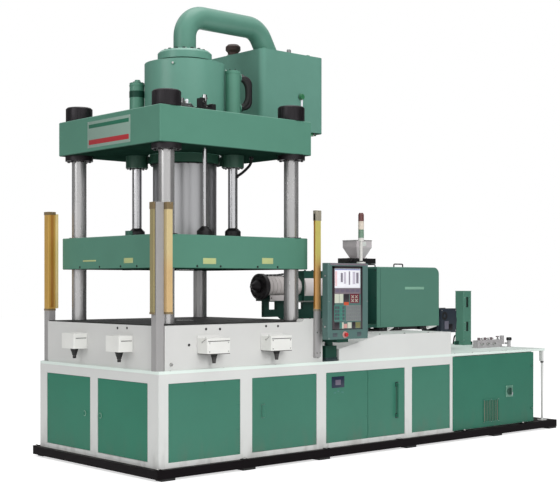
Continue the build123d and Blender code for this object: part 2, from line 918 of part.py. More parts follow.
def make_prefill_pipe():
    """Bent pipe from the cylinder cap over to the oil tank, which it enters at a slant."""
    fall = pipe_axis_z - tank_top
    turn_x = pipe_drop_x - pipe_lean
    far_x = turn_x + pipe_overrun * pipe_lean
    far_z = pipe_axis_z - pipe_overrun * fall
    line = FilletPolyline((press_x, press_y, cap_top), (press_x, press_y, pipe_axis_z),
                          (turn_x, press_y, pipe_axis_z), (far_x, press_y, far_z), radius=pipe_bend)
    start = Plane(origin=(press_x, press_y, cap_top), z_dir=(0, 0, 1))
    pipe = sweep(start * Circle(pipe_radius), path=line)
    reach = 2 * pipe_radius
    pipe -= block(turn_x - reach, far_x + reach, press_y - reach, press_y + reach, far_z - reach, tank_top)
    for x, z in ((press_x, cap_top), (pipe_drop_x, tank_top)):
        pipe += upright(x, press_y, z, z + pipe_flange_height, pipe_radius + pipe_flange_width)
    return pipe


def make_oil_tank():
    body = block(tank_x0, tank_x1, tank_y0, tank_y1, crown_top, tank_top)
    body = vertical_edges_rounded(body, tank_corner)
    cavity = block(tank_x0 + tank_wall, tank_x1 - tank_wall, tank_y0 + tank_wall, tank_y1 - tank_wall,
                   crown_top + tank_wall, tank_top - tank_wall)
    body -= vertical_edges_rounded(cavity, tank_corner - tank_wall)
    body -= upright(pipe_drop_x, press_y, tank_top - tank_wall, tank_top, fill_radius)
    return body


def make_tank_breather():
    top = tank_top + breather_height
    slope = breather_radius - breather_neck
    outline = [(0, tank_top), (breather_neck, tank_top), (breather_neck, tank_top + breather_height / 3),
               (breather_radius, tank_top + breather_height / 3 + slope), (breather_radius, top - slope),
               (breather_neck, top), (0, top)]
    return turned(breather_x, breather_y, outline)


def make_return_cylinders():
    bodies = []
    rod_bore = return_rod_radius + running_clearance
    for x, y, top in return_places:
        z0 = crown_bottom - return_flange_height
        outline = [(rod_bore, z0), (return_flange_radius, z0), (return_flange_radius, crown_bottom),
                   (return_radius, crown_bottom), (return_radius, top), (0, top), (0, top - return_cap),
                   (return_bore, top - return_cap), (return_bore, crown_bottom), (rod_bore, crown_bottom)]
        bodies.append(turned(x, y, outline))
    return bodies


def make_pressure_pipe():
    """Steel pipe bent to a C, which joins the two ports of the front return cylinder."""
    x, y, top = return_places[0]
    reach_x = math.cos(math.radians(link_angle))
    reach_y = math.sin(math.radians(link_angle))
    start = return_radius
    far = return_radius + link_reach

    def place(distance, height):
        return (x + distance * reach_x, y + distance * reach_y, height)

    line = FilletPolyline(place(start, link_high_z), place(far, link_high_z), place(far, link_low_z),
                          place(start, link_low_z), radius=link_bend)
    plane = Plane(origin=place(start, link_high_z), z_dir=(reach_x, reach_y, 0))
    return sweep(plane * Circle(link_radius), path=line)


def make_stroke_sensor():
    """Guide flange of the stroke rod with two limit switches."""
    x0 = stroke_x - guide_length / 2
    x1 = stroke_x + guide_length / 2
    y0 = stroke_y - guide_width / 2
    top = crown_top + guide_height
    body = block(x0, x1, y0, y0 + guide_width, crown_top, top)
    body += block(x0, x0 + limit_switch[0], y0, y0 + limit_switch[1], top, top + limit_switch[2])
    body += block(x1 - limit_relay[0], x1, y0, y0 + limit_relay[1], top, top + limit_relay[2])
    return body - upright(stroke_x, stroke_y, crown_top, top, stroke_radius + seat_clearance)


def make_valve_block():
    length, width, height = valve_block_size
    x0 = valve_block_x - length / 2
    y0 = valve_block_y - width / 2
    top = crown_top + height
    body = block(x0, x0 + length, y0, y0 + width, crown_top, top)
    plug_top = top + valve_plug_height
    body += upright(valve_block_x - length / 5, valve_block_y, top, plug_top, valve_plug_radius)
    return body + along_y(valve_block_x + length / 5, y0 - valve_port_length, y0, crown_top + height / 2,
                          valve_port_radius)


def make_curtain_posts():
    rear = block(*rear_post, base_top, curtain_low)
    corner = block(*corner_post, base_top, curtain_high)
    right = block(*right_post, right_post_foot, curtain_low)
    return [vertical_edges_broken(post, post_corner) for post in (rear, corner, right)]


def make_light_curtains():
    places = (rear_post, side_bar, front_bar, right_post)
    bars = [block(*place, curtain_low, curtain_high) for place in places]
    return [vertical_edges_broken(bar, post_corner) for bar in bars]


def make_injection_bed():
    y0 = bed_inset
    y1 = base_depth - bed_inset
    side = Polyline((bed_left, base_top), (bed_left, bed_left_top), (bed_full_x, bed_top),
                    (bed_right, bed_top), (bed_right, base_top), close=True)
    body = drawn_out(side, y0, y1)
    slope = (bed_top - bed_left_top) / (bed_full_x - bed_left)
    inner_left = bed_left + bed_wall
    inner = Polyline((inner_left, base_top), (inner_left, bed_left_top + slope * bed_wall - bed_wall),
                     (bed_full_x, bed_top - bed_wall), (bed_right - bed_wall, bed_top - bed_wall),
                     (bed_right - bed_wall, base_top), close=True)
    body -= drawn_out(inner, y0 + bed_wall, y1 - bed_wall)
    return body


def make_slide_rails():
    rails = []
    for side in (-1, 1):
        y = press_y + side * rail_spread
        rail = block(rail_x0, rail_x1, y - rail_width / 2, y + rail_width / 2, bed_top, bed_top + rail_height)
        for side_y in (-1, 1):
            edge = y + side_y * rail_width / 2
            rail -= block(rail_x0, rail_x1, edge - rail_groove, edge + rail_groove, bed_top + rail_groove_low,
                          bed_top + rail_groove_high)
        rails.append(rail)
    return rails


def make_slide_blocks():
    shoes = []
    rail_top = bed_top + rail_height
    for side in (-1, 1):
        y = press_y + side * rail_spread
        for x0, x1 in shoe_x:
            shoe = block(x0, x1, y - shoe_width / 2, y + shoe_width / 2, shoe_bottom, cover_bottom)
            half = rail_width / 2 + running_clearance
            shoe -= block(x0, x1, y - half, y + half, shoe_bottom, rail_top + running_clearance)
            shoes.append(shoe)
    shoes.append(block(skid_x0, skid_x1, skid_y0, skid_y1, shoe_bottom, cover_bottom))
    return shoes


def make_carriage():
    """Base plate on the slide blocks, a windowed cradle web and the yoke round the barrel."""
    edge = cover_wall + seat_clearance
    body = block(plate_x0, cover_x1 - edge, cover_y0 + edge, cover_y1 - edge, cover_bottom, plate_top)
    outline = Polyline((cradle_x0, cradle_low_z), (cradle_x0, saddle_top_z), (throat_x1, saddle_top_z),
                       (throat_x1, plate_top), (plate_x0, plate_top),
                       (cradle_x0 + cradle_level, cradle_low_z), close=True)
    web = drawn_out(outline, press_y - cradle_web / 2, press_y + cradle_web / 2)
    for x0, x1 in window_x:
        web -= block(x0, x1, press_y - cradle_web, press_y + cradle_web, window_low, window_high)
    body += web
    body += block(cradle_x0, cradle_x1, press_y - saddle_half, press_y + saddle_half, saddle_low_z,
                  saddle_top_z + saddle_lip)
    body += block(yoke_x0, cradle_x1, press_y - yoke_half, press_y + yoke_half, saddle_low_z, yoke_top)
    body += block(throat_x0, throat_x1, press_y - throat_half, press_y + throat_half, plate_top, feeder_z0)
    body -= along_x(cradle_x0 - 1, cover_x1, press_y, unit_axis_z, barrel_radius + seat_clearance)
    body -= along_x(band_x0 - 1, band_x1 + 1, press_y, unit_axis_z, band_radius + seat_clearance)
    return body


def make_barrel():
    body = along_x(barrel_x0, barrel_x1, press_y, unit_axis_z, barrel_radius)
    body += along_x(band_x0, band_x1, press_y, unit_axis_z, band_radius)
    return body


def make_nozzle_head():
    disc = along_x(disc_x0, barrel_x0, press_y, unit_axis_z, disc_radius)
    disc = chamfer(disc.edges().filter_by(GeomType.CIRCLE), disc_chamfer)
    outline = [(0, 0), (nozzle_base_radius, 0), (nozzle_base_radius, nozzle_land),
               (nozzle_tip_radius, disc_x0 - nozzle_tip_x), (0, disc_x0 - nozzle_tip_x)]
    cone = revolve(make_face(Plane.XZ * Polyline(*outline, close=True)), Axis.Z)
    return disc + Pos(disc_x0, press_y, unit_axis_z) * Rot(0, -90, 0) * cone


def cover_shell(grow, low):
    """Side outline of the cover with its rounded upper rear corner, drawn out in Y."""
    x0 = cover_x0 + grow
    x1 = cover_x1 - grow
    top = cover_top - grow
    body = block(x0, x1, cover_y0 + grow, cover_y1 - grow, low, top)
    corner = body.edges().filter_by(Axis.Y).group_by(Axis.Z)[-1].sort_by(Axis.X)[-1]
    body = fillet(corner, cover_corner - grow)
    return body


def make_unit_cover():
    cover = cover_shell(0, cover_bottom)
    long_edges = cover.edges().filter_by(Axis.X).group_by(Axis.Z)[-1]
    cover = fillet(long_edges, cover_edge)
    cover -= cover_shell(cover_wall, cover_bottom - 1)
    cover -= along_x(cover_x0 - 1, cover_x0 + cover_wall + 1, press_y, unit_axis_z,
                     barrel_radius + barrel_hole_clearance)
    cover -= block(cover_x0 - 1, cover_x0 + cover_wall + 1, cover_y0 + cover_wall, cover_y1 - cover_wall,
                   cover_bottom - 1, plate_top + seat_clearance)
    return cover


def make_feed_hopper():
    """Black feeder plate on the throat with a square sheet funnel."""
    plate = block(feeder_x0, feeder_x1, press_y - feeder_half, press_y + feeder_half, feeder_z0, feeder_z1)

    def funnel(shrink):
        knee = feeder_z1 + hopper_slope
        throat = hopper_throat - 2 * shrink
        rim_x = hopper_rim_x - 2 * shrink
        rim_y = hopper_rim_y - 2 * shrink
        slope = loft([Pos(hopper_x, press_y, feeder_z1) * Rectangle(throat, throat),
                      Pos(hopper_x, press_y, knee) * Rectangle(rim_x, rim_y)])
        return slope + block(hopper_x - rim_x / 2, hopper_x + rim_x / 2, press_y - rim_y / 2,
                             press_y + rim_y / 2, knee, feeder_z1 + hopper_height)

    inlet = hopper_throat / 2 - hopper_wall
    plate -= block(hopper_x - inlet, hopper_x + inlet, press_y - inlet, press_y + inlet,
                   feeder_z1 - feeder_inlet, feeder_z1)
    return plate + (funnel(0) - funnel(hopper_wall))


def make_drive_motor():
    x0 = cover_x1
    x1 = x0 + motor_length
    cowl = x1 - motor_cowl
    body = along_x(x0, cowl, motor_y, motor_z, motor_radius)
    body += along_x(cowl, x1, motor_y, motor_z, motor_radius - motor_cowl_step)
    fin_width, fin_height = motor_fin
    for index in range(motor_fins):
        fin = block(x0 + motor_cowl_step, cowl - motor_cowl_step, -fin_width / 2, fin_width / 2,
                    motor_radius - fin_height, motor_radius + fin_height)
        body += Pos(0, motor_y, motor_z) * Rot(360 / motor_fins * index, 0, 0) * fin
    return body


def make_control_panel():
    body = block(panel_x0, panel_x1, panel_front, panel_back, panel_bottom, panel_top)
    body = fillet(body.edges().filter_by(Axis.Z), panel_corner)
    body += block(bezel_x0, bezel_x1, panel_front - bezel_rise, panel_front, bezel_z0, bezel_z1)
    face = panel_front - bezel_rise
    body -= block(screen_x0, screen_x1, face, face + screen_depth, screen_z0, screen_z1)
    half = button_size / 2 + button_clearance
    deep = panel_front + button_hole_depth
    body -= block(button_x - half, button_x + half, face, deep, button_z - half, button_z + half)
    return body - along_y(estop_x, panel_front, deep, estop_z, estop_stem + running_clearance)


def make_panel_arm():
    plate = block(swivel_x - arm_width / 2, swivel_x + arm_width / 2, panel_front + arm_thickness / 2,
                  swivel_y + post_half_y, panel_bottom - arm_thickness, panel_bottom)
    plate = fillet(plate.edges().filter_by(Axis.Z).group_by(Axis.Y)[-1], arm_corner)
    return plate - upright(swivel_x, swivel_y, panel_bottom - arm_thickness, panel_bottom,
                           swivel_pin_radius + running_clearance)


def make_panel_post():
    post_top = base_top + post_height
    body = block(swivel_x - post_half_x, swivel_x + post_half_x, swivel_y - post_half_y,
                 swivel_y + post_half_y, base_top, post_top)
    body = chamfer(body.edges().filter_by(Axis.Z), post_corner)
    boss_top = panel_bottom - arm_thickness - button_clearance
    body += upright(swivel_x, swivel_y, post_top, boss_top, swivel_boss_radius)
    return body + upright(swivel_x, swivel_y, boss_top, panel_bottom - sheet, swivel_pin_radius)


def make_emergency_stop():
    neck = panel_front - estop_neck
    body = along_y(estop_x, neck, panel_front + button_depth, estop_z, estop_stem)
    head = along_y(estop_x, neck - estop_head, neck, estop_z, estop_radius)
    return body + chamfer(head.edges().filter_by(GeomType.CIRCLE).group_by(Axis.Y)[0], estop_radius / 4)


def make_start_button():
    half = button_size / 2
    body = block(button_x - half, button_x + half, panel_front - button_rise, panel_front + button_depth,
                 button_z - half, button_z + half)
    return chamfer(body.faces().sort_by(Axis.Y)[0].edges(), button_size / 20)


def make_signal_tower():
    """Foot, pole and a stack of lenses, turned in one piece."""
    foot_top = panel_top + tower_foot_height
    outline = [(0, panel_top), (tower_foot_radius, panel_top), (tower_foot_radius, foot_top),
               (tower_pole_radius, foot_top), (tower_pole_radius, tower_lens_bottom - tower_lens_skirt),
               (tower_radius, tower_lens_bottom - tower_lens_skirt)]
    lens = (tower_top - tower_cap - tower_lens_bottom) / tower_lenses
    for index in range(1, tower_lenses):
        low = tower_lens_bottom + index * lens
        outline += [(tower_radius, low), (tower_radius - tower_groove, low + tower_groove / 2),
                    (tower_radius, low + tower_groove)]
    outline += [(tower_radius, tower_top - tower_cap), (tower_radius - tower_cap / 2, tower_top),
                (0, tower_top)]
    return turned(tower_x, tower_y, outline)


def make_terminal_box():
    body = block(terminal_x0, terminal_x1, terminal_y0, terminal_y1, base_top + terminal_base, terminal_top)
    body = vertical_edges_broken(body, panel_corner)
    slot_x = terminal_x0 + terminal_inset
    for z0, z1 in terminal_slots:
        body -= block(slot_x, slot_x + terminal_slot, terminal_y0, terminal_y0 + terminal_rim, z0, z1)
    foot_x0 = terminal_x0 - terminal_rim_x
    foot_x1 = terminal_x1 + terminal_rim_x
    return body + block(foot_x0, foot_x1, terminal_y0 - terminal_rim, terminal_y1 + terminal_rim,
                        base_top, base_top + terminal_base)


def make_water_manifold():
    top = base_top + manifold_height
    front = manifold_y - manifold_half
    body = block(manifold_x0, manifold_x1, front, manifold_y + manifold_half, base_top, top)
    radius, depth, height = manifold_port
    for index, x in enumerate(valve_x):
        body += block(x - valve_boss, x + valve_boss, manifold_y - valve_boss, manifold_y + valve_boss, top,
                      top + valve_rise)
        body -= upright(x, manifold_y, top - valve_depth, top + valve_rise, valve_stem + running_clearance)
        body -= along_y(x, front, front + depth + index * manifold_port_step, base_top + height, radius)
    elbow_x = manifold_x1 + elbow_reach
    body += along_x(manifold_x1, elbow_x, manifold_y, base_top + elbow_z, elbow_pipe)
    return body + upright(elbow_x, manifold_y, base_top + elbow_low, base_top + elbow_high, elbow_radius)


def make_valve(x):
    top = base_top + manifold_height + valve_rise
    low = top + valve_gap
    high = top + valve_height
    lever_width, lever_length, lever_height = valve_lever
    body = upright(x, manifold_y, top - valve_depth, low, valve_stem)
    knob = upright(x, manifold_y, low, high, valve_radius)
    body += chamfer(knob.edges().filter_by(GeomType.CIRCLE), valve_stem / 2)
    return body + block(x - lever_width / 2, x + lever_width / 2, manifold_y - lever_length, manifold_y,
                        high - 2 * lever_height, high - lever_height)


def make_pump_unit():
    """Motor and pump on a foot, in the base behind the right-hand front door."""
    x0 = pump_x
    pieces = []
    for length, radius in (pump_motor, pump_bell, pump_body):
        pieces.append(along_x(x0, x0 + length, pump_y, pump_z, radius))
        x0 += length
    body = pieces[0] + pieces[1:]
    motor_length, motor_radius = pump_motor
    body += block(pump_x + pump_foot_inset, pump_x + motor_length - pump_foot_inset, pump_y - pump_foot_half,
                  pump_y + pump_foot_half, frame_bottom, pump_z - pump_foot_top)
    box_length, box_half, box_top = pump_box
    box_x = pump_x + (motor_length - box_length) / 2
    return body + block(box_x, box_x + box_length, pump_y - box_half, pump_y + box_half,
                        pump_z + motor_radius * 0.8, pump_z + box_top)


def make_moving_platen():
    body = block(press_x - moving_x / 2, press_x + moving_x / 2, press_y - moving_y / 2,
                 press_y + moving_y / 2, moving_bottom, moving_top)
    body = chamfer(body.edges(), edge_break)
    body -= column_holes(moving_bottom, moving_top, running_clearance)
    body -= mould_holes(moving_bottom, moving_bottom + bolt_hole_depth)
    body -= upright(press_x, press_y, moving_bottom, moving_bottom + locating_depth, locating_radius)
    return body


def make_main_ram():
    ram = upright(press_x, press_y, moving_top, ram_top, ram_radius)
    return chamfer(ram.edges().group_by(Axis.Z)[-1], 2 * edge_break)


def make_return_rods():
    pieces = []
    for x, y, top in return_places:
        rod = upright(x, y, moving_top, return_rod_top, return_rod_radius)
        rod += upright(x, y, return_rod_top, return_piston_top, return_bore - button_clearance)
        nut_top = moving_top + rod_nut_height
        slope = rod_nut_radius - return_rod_radius
        outline = [(0, moving_top), (rod_nut_radius, moving_top), (rod_nut_radius, nut_top - slope),
                   (return_rod_radius, nut_top), (0, nut_top)]
        pieces.append(rod + turned(x, y, outline))
    return pieces


def make_stroke_rod():
    rod = upright(stroke_x, stroke_y, moving_top, stroke_top, stroke_radius)
    nut_top = moving_top + stroke_nut_height
    slope = stroke_nut_height / 2
    outline = [(0, moving_top), (stroke_nut_radius, moving_top), (stroke_nut_radius, nut_top - slope),
               (stroke_nut_radius - slope, nut_top), (0, nut_top)]
    return rod + turned(stroke_x, stroke_y, outline)


nodes = {
    "plinth": make_plinth(),
    "levelling_pads": make_pads(),
    "base_front_frame": make_front_frame(),
    "base_rear_frame": ladder_frame(base_depth - frame_depth),
    "base_end_frame": make_end_frame(),
    "base_deck": make_deck(),
    "cover_panels": make_cover_panels(),
    "lower_block": make_lower_block(),
    "lower_platen": make_lower_platen(),
    "connector_boxes": make_connector_boxes(),
    "columns": make_columns(),
    "column_nuts": make_column_nuts(),
    "column_collars": make_column_collars(),
    "crown": make_crown(),
    "main_cylinder": make_main_cylinder(),
    "cylinder_cap": make_cylinder_cap(),
    "ram_gland": make_ram_gland(),
    "prefill_pipe": make_prefill_pipe(),
    "oil_tank": make_oil_tank(),
    "tank_breather": make_tank_breather(),
    "return_cylinders": make_return_cylinders(),
    "pressure_pipe": make_pressure_pipe(),
    "stroke_sensor": make_stroke_sensor(),
    "valve_block": make_valve_block(),
    "curtain_posts": make_curtain_posts(),
    "light_curtains": make_light_curtains(),
    "injection_bed": make_injection_bed(),
    "slide_rails": make_slide_rails(),
    "electric_cabinet": make_cabinet(),
    "mounting_plate": make_mounting_plate(),
    "pump_unit": make_pump_unit(),
    "support_leg": make_support_leg(),
    "terminal_box": make_terminal_box(),
    "water_manifold": make_water_manifold(),
    "panel_post": make_panel_post(),
    "moving_platen": make_moving_platen(),
    "main_ram": make_main_ram(),
    "return_rods": make_return_rods(),
    "stroke_rod": make_stroke_rod(),
    "injection_carriage": make_carriage(),
    "slide_blocks": make_slide_blocks(),
    "injection_barrel": make_barrel(),
    "nozzle_head": make_nozzle_head(),
    "unit_cover": make_unit_cover(),
    "feed_hopper": make_feed_hopper(),
    "drive_motor": make_drive_motor(),
    "control_panel": make_control_panel(),
    "panel_arm": make_panel_arm(),
    "signal_tower": make_signal_tower(),
    "emergency_stop": make_emergency_stop(),
    "start_button": make_start_button(),
    "front_door_left": make_front_door_left(),
    "front_door_right": make_front_door_right(),
    "end_door_front": make_end_door_front(),
    "end_door_rear": make_end_door_rear(),
    "cabinet_door": make_cabinet_door(),
    "main_switch": make_main_switch(),
}
for number, x in enumerate(valve_x, start=1):
    nodes[f"water_valve_{number}"] = make_valve(x)


def as_compound(shape):
    """One compound of the separate solids of a node."""
    shapes = shape if isinstance(shape, list) else [shape]
    return Compound(children=[solid for item in shapes for solid in item.solids()])


# The origin is the middle of the footprint box, at floor level
parts = {name: as_compound(shape) for name, shape in nodes.items()}
boxes = [shape.bounding_box() for shape in parts.values()]
origin_x = (min(box.min.X for box in boxes) + max(box.max.X for box in boxes)) / 2
origin_y = (min(box.min.Y for box in boxes) + max(box.max.Y for box in boxes)) / 2
print("origin in machine frame", round(origin_x, 4), round(origin_y, 4))

os.makedirs("parts", exist_ok=True)
for name, shape in parts.items():
    export_step(Pos(-origin_x, -origin_y, 0) * shape, f"parts/{name}.step")
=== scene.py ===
"""Dresses the injection moulding machine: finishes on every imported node, fine pieces and a studio."""
import math
from itertools import product

import bmesh
import bpy
from mathutils import Matrix, Vector


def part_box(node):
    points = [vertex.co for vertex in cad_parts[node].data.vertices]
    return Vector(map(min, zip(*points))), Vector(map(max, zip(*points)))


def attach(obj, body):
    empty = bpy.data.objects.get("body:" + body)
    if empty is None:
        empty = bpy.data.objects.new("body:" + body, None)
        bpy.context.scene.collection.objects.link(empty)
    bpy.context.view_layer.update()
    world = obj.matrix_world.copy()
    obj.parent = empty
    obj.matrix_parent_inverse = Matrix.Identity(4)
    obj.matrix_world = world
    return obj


bl_info = {
    "name": "Injection moulding machine",
    "version": (1, 0, 0),
    "blender": (4, 5, 0),
    "location": "View3D > Sidebar > Machine",
    "description": "Finishes and fine pieces of a vertical injection moulding machine, with its studio",
    "category": "Object",
}

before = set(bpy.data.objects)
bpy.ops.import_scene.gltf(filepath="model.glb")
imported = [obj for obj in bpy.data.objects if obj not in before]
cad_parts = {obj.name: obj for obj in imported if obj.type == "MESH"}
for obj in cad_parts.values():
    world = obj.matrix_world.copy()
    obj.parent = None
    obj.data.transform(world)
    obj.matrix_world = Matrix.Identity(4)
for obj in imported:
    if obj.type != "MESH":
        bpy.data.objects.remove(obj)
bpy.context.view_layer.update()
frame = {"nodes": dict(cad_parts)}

# The machine's own millimetres run from the front left corner of the base, on the floor.
base_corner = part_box("base_front_frame")[0]
machine_origin = Vector((base_corner.x, base_corner.y, 0.0))
millimetre = 0.001

LEFT = Vector((-1, 0, 0))
RIGHT = Vector((1, 0, 0))
FRONT = Vector((0, -1, 0))
BACK = Vector((0, 1, 0))
DOWN = Vector((0, 0, -1))
UP = Vector((0, 0, 1))

finishes = {}


def at(x, y, z):
    """A point given in the machine's millimetres, in metres of the shared frame."""
    return machine_origin + Vector((x, y, z)) * millimetre


def extent(node):
    """The lowest and highest corner of a node, in the machine's millimetres."""
    low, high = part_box(node)
    return (low - machine_origin) / millimetre, (high - machine_origin) / millimetre


def middle_of(node):
    """The middle of a node's box, in the machine's millimetres."""
    low, high = extent(node)
    return (low + high) / 2


def card(red, green, blue):
    """A colour as a paint card gives it, 0 to 255, in linear light."""
    def linear(value):
        value = value / 255
        return value / 12.92 if value <= 0.04045 else ((value + 0.055) / 1.055) ** 2.4
    return linear(red), linear(green), linear(blue)


# Settings that a user would change

def colour_of(name, description, red, green, blue):
    return bpy.props.FloatVectorProperty(
        name=name, description=description, subtype="COLOR", size=3,
        min=0.0, max=1.0, default=card(red, green, blue))


def length_of(name, description, metres):
    return bpy.props.FloatProperty(
        name=name, description=description, default=metres, min=0.0,
        subtype="DISTANCE", unit="LENGTH")


def share_of(name, description, share):
    return bpy.props.FloatProperty(
        name=name, description=description, default=share, min=0.0, max=1.0, subtype="FACTOR")


def number_of(name, description, number):
    return bpy.props.IntProperty(name=name, description=description, default=number, min=1)


def watts_of(name, description, watts):
    return bpy.props.FloatProperty(
        name=name, description=description, default=watts, min=0.0, unit="POWER")


class MachineColours(bpy.types.PropertyGroup):
    """Paints and plastics of the machine."""

    press: colour_of("Press green", "Crown, platen, cylinders and tank", 88, 140, 121)
    panels: colour_of("Panel green", "Doors and covers of base and cabinet", 62, 124, 104)
    unit: colour_of("Unit green", "Cover of the injection unit", 84, 130, 114)
    unit_dark: colour_of("Carriage green", "Carriage under the injection unit's cover", 34, 76, 66)
    desk: colour_of("Panel teal", "Housing of the control panel and its arm", 88, 118, 114)
    frame: colour_of("Frame white", "Base frame, lower block, bed and cabinet body", 224, 225, 223)
    plinth: colour_of("Plinth black", "Plinth under the whole machine", 16, 11, 14)
    curtain: colour_of("Curtain yellow", "Light curtain housings", 194, 184, 100)
    curtain_low: colour_of("Curtain orange", "Lower part of the light curtains", 208, 160, 102)
    label: colour_of("Label", "Bare label plates", 190, 200, 140)
    stop: colour_of("Stop red", "Mushroom head of the stop button", 190, 40, 44)


class MachineSizes(bpy.types.PropertyGroup):
    """Sizes of the fine pieces."""

    cap_screw: length_of("Cap screw radius", "Head of the screws on the cylinder cap", 0.0154)
    panel_screw: length_of("Panel screw radius", "Head of the screws on covers", 0.008)
    label_thickness: length_of("Label thickness", "Bare label plates", 0.002)
    cap_screws: number_of("Cap screws", "Screws round the cylinder cap", 16)
    heater_bands: number_of("Heater bands", "Heater bands on the barrel", 5)


class StudioSettings(bpy.types.PropertyGroup):
    """Light and floor of the studio."""

    sky: share_of("Sky", "Even light from all sides", 0.5)
    key: watts_of("Key lamp", "Large lamp in front", 1310.0)
    fill: watts_of("Fill lamp", "Lamp at the left end", 150.0)
    top: watts_of("Top lamp", "Soft lamp overhead", 330.0)
    floor: share_of("Floor glow", "How much white the floor adds where the camera sees it", 0.62)


# Shader arithmetic

class Field:
    """A socket of a finish that takes part in arithmetic."""

    def __init__(self, tree, socket):
        self.tree = tree
        self.socket = socket

    def _join(self, operation, first, second):
        if self.socket.type == "RGBA":
            settings = {"data_type": "RGBA", "blend_type": operation}
            return self.tree.add("Mix", settings, {0: 1.0, 6: first, 7: second}, 2)
        if self.socket.type == "VECTOR":
            return self.tree.add("VectorMath", {"operation": operation}, {0: first, 1: second})
        return self.tree.add("Math", {"operation": operation}, {0: first, 1: second})

    def __add__(self, other):
        return self._join("ADD", self, other)

    def __radd__(self, other):
        return self._join("ADD", other, self)

    def __sub__(self, other):
        return self._join("SUBTRACT", self, other)

    def __rsub__(self, other):
        return self._join("SUBTRACT", other, self)

    def __mul__(self, other):
        return self._join("MULTIPLY", self, other)

    def __rmul__(self, other):
        return self._join("MULTIPLY", other, self)

    def __gt__(self, other):
        return self.tree.add("Math", {"operation": "GREATER_THAN"}, {0: self, 1: other})

    def part(self, axis):
        """One coordinate of a vector."""
        return self.tree.add("SeparateXYZ", inputs={0: self}, output=axis)


class Nodes:
    """The nodes of a material or of the world."""

    def __init__(self, owner):
        owner.use_nodes = True
        self.nodes = owner.node_tree.nodes
        self.links = owner.node_tree.links
        self.nodes.clear()

    def add(self, kind, settings=None, inputs=None, output=0):
        """Adds a node: its type, then its settings, then the values or links of its sockets."""
        node = self.nodes.new("ShaderNode" + kind)
        for setting, value in (settings or {}).items():
            setattr(node, setting, value)
        for socket, value in (inputs or {}).items():
            self._feed(node.inputs[socket], value)
        return Field(self, node.outputs[output]) if node.outputs else None

    def _feed(self, socket, value):
        if isinstance(value, Field):
            self.links.new(value.socket, socket)
        elif socket.type == "RGBA" and isinstance(value, (int, float)):
            socket.default_value = (value, value, value, 1.0)
        elif socket.type == "RGBA":
            socket.default_value = (*value[:3], 1.0)
        elif socket.type == "VECTOR" and isinstance(value, (int, float)):
            socket.default_value = (value, value, value)
        else:
            socket.default_value = value


class Finish(Nodes):
    """One material, mixed from nodes."""

    def __init__(self, name):
        self.material = bpy.data.materials.new(name)
        super().__init__(self.material)
        self.place = self.add("TexCoord", output="Object")
        finishes[name] = self.material

    def noise(self, scale, detail=2.0, stretch=None, roughness=0.5):
        """Smooth noise from 0 to 1 over the piece, in cells per metre."""
        place = self.place if stretch is None else self.place * stretch
        inputs = {"Vector": place, "Scale": scale, "Detail": detail, "Roughness": roughness}
        return self.add("TexNoise", inputs=inputs, output="Fac")

    def ramp(self, value, low, high, start=0.0, end=1.0):
        """Moves a value from one range to another and stops at its ends."""
        inputs = {"Value": value, "From Min": low, "From Max": high, "To Min": start, "To Max": end}
        return self.add("MapRange", {"clamp": True, "interpolation_type": "SMOOTHSTEP"}, inputs)

    def step_at(self, height, softness):
        """0 below a height of the machine and 1 above it, both in millimetres."""
        low, high = (height - softness) * millimetre, (height + softness) * millimetre
        return self.ramp(self.place.part(2), low, high)

    def blend(self, share, first, second):
        """The first colour where the share is 0 and the second where it is 1."""
        return self.add("Mix", {"data_type": "RGBA"}, {0: share, 6: first, 7: second}, 2)

    def grey(self, tone):
        """A grey of that tone, to multiply a colour with."""
        return self.add("CombineColor", inputs={"Red": tone, "Green": tone, "Blue": tone})

    def bump(self, height, strength, distance=0.0006):
        """A normal from a height."""
        inputs = {"Height": height, "Strength": strength, "Distance": distance}
        return self.add("Bump", inputs=inputs, output="Normal")

    def upward(self):
        """1 where a surface faces up."""
        return self.ramp(self.add("NewGeometry", output="Normal").part(2), 0.55, 0.95)

    def downward(self):
        """1 where a surface faces down: the mask of the painted underside shade."""
        return self.ramp(self.add("NewGeometry", output="Normal").part(2), -0.4, -0.9)

    def surface(self, under=None, **inputs):
        """Closes the finish with its shader; where an underside colour is given, undersides take a matt
        shader in that colour, which is painted shade.
        """
        named = {name.replace("_", " "): value for name, value in inputs.items()}
        shader = self.add("BsdfPrincipled", inputs=named)
        if under is not None:
            matt = self.add("BsdfPrincipled", inputs={
                "Base Color": under, "Roughness": 0.9, "Specular IOR Level": 0.0})
            shader = self.add("MixShader", inputs={0: self.downward(), 1: shader, 2: matt})
        self.add("OutputMaterial", inputs={"Surface": shader})

    def brushed(self, colour):
        """Closes the finish as a paint that was brushed on."""
        cloud = self.noise(6.0, 4.0)
        base = colour * self.grey((cloud - 0.5) * 0.16 + 1.0)
        rough = (cloud - 0.5) * 0.1 + 0.4
        self.surface(Base_Color=base, Roughness=rough, Normal=self.bump(self.noise(200.0), 0.1))


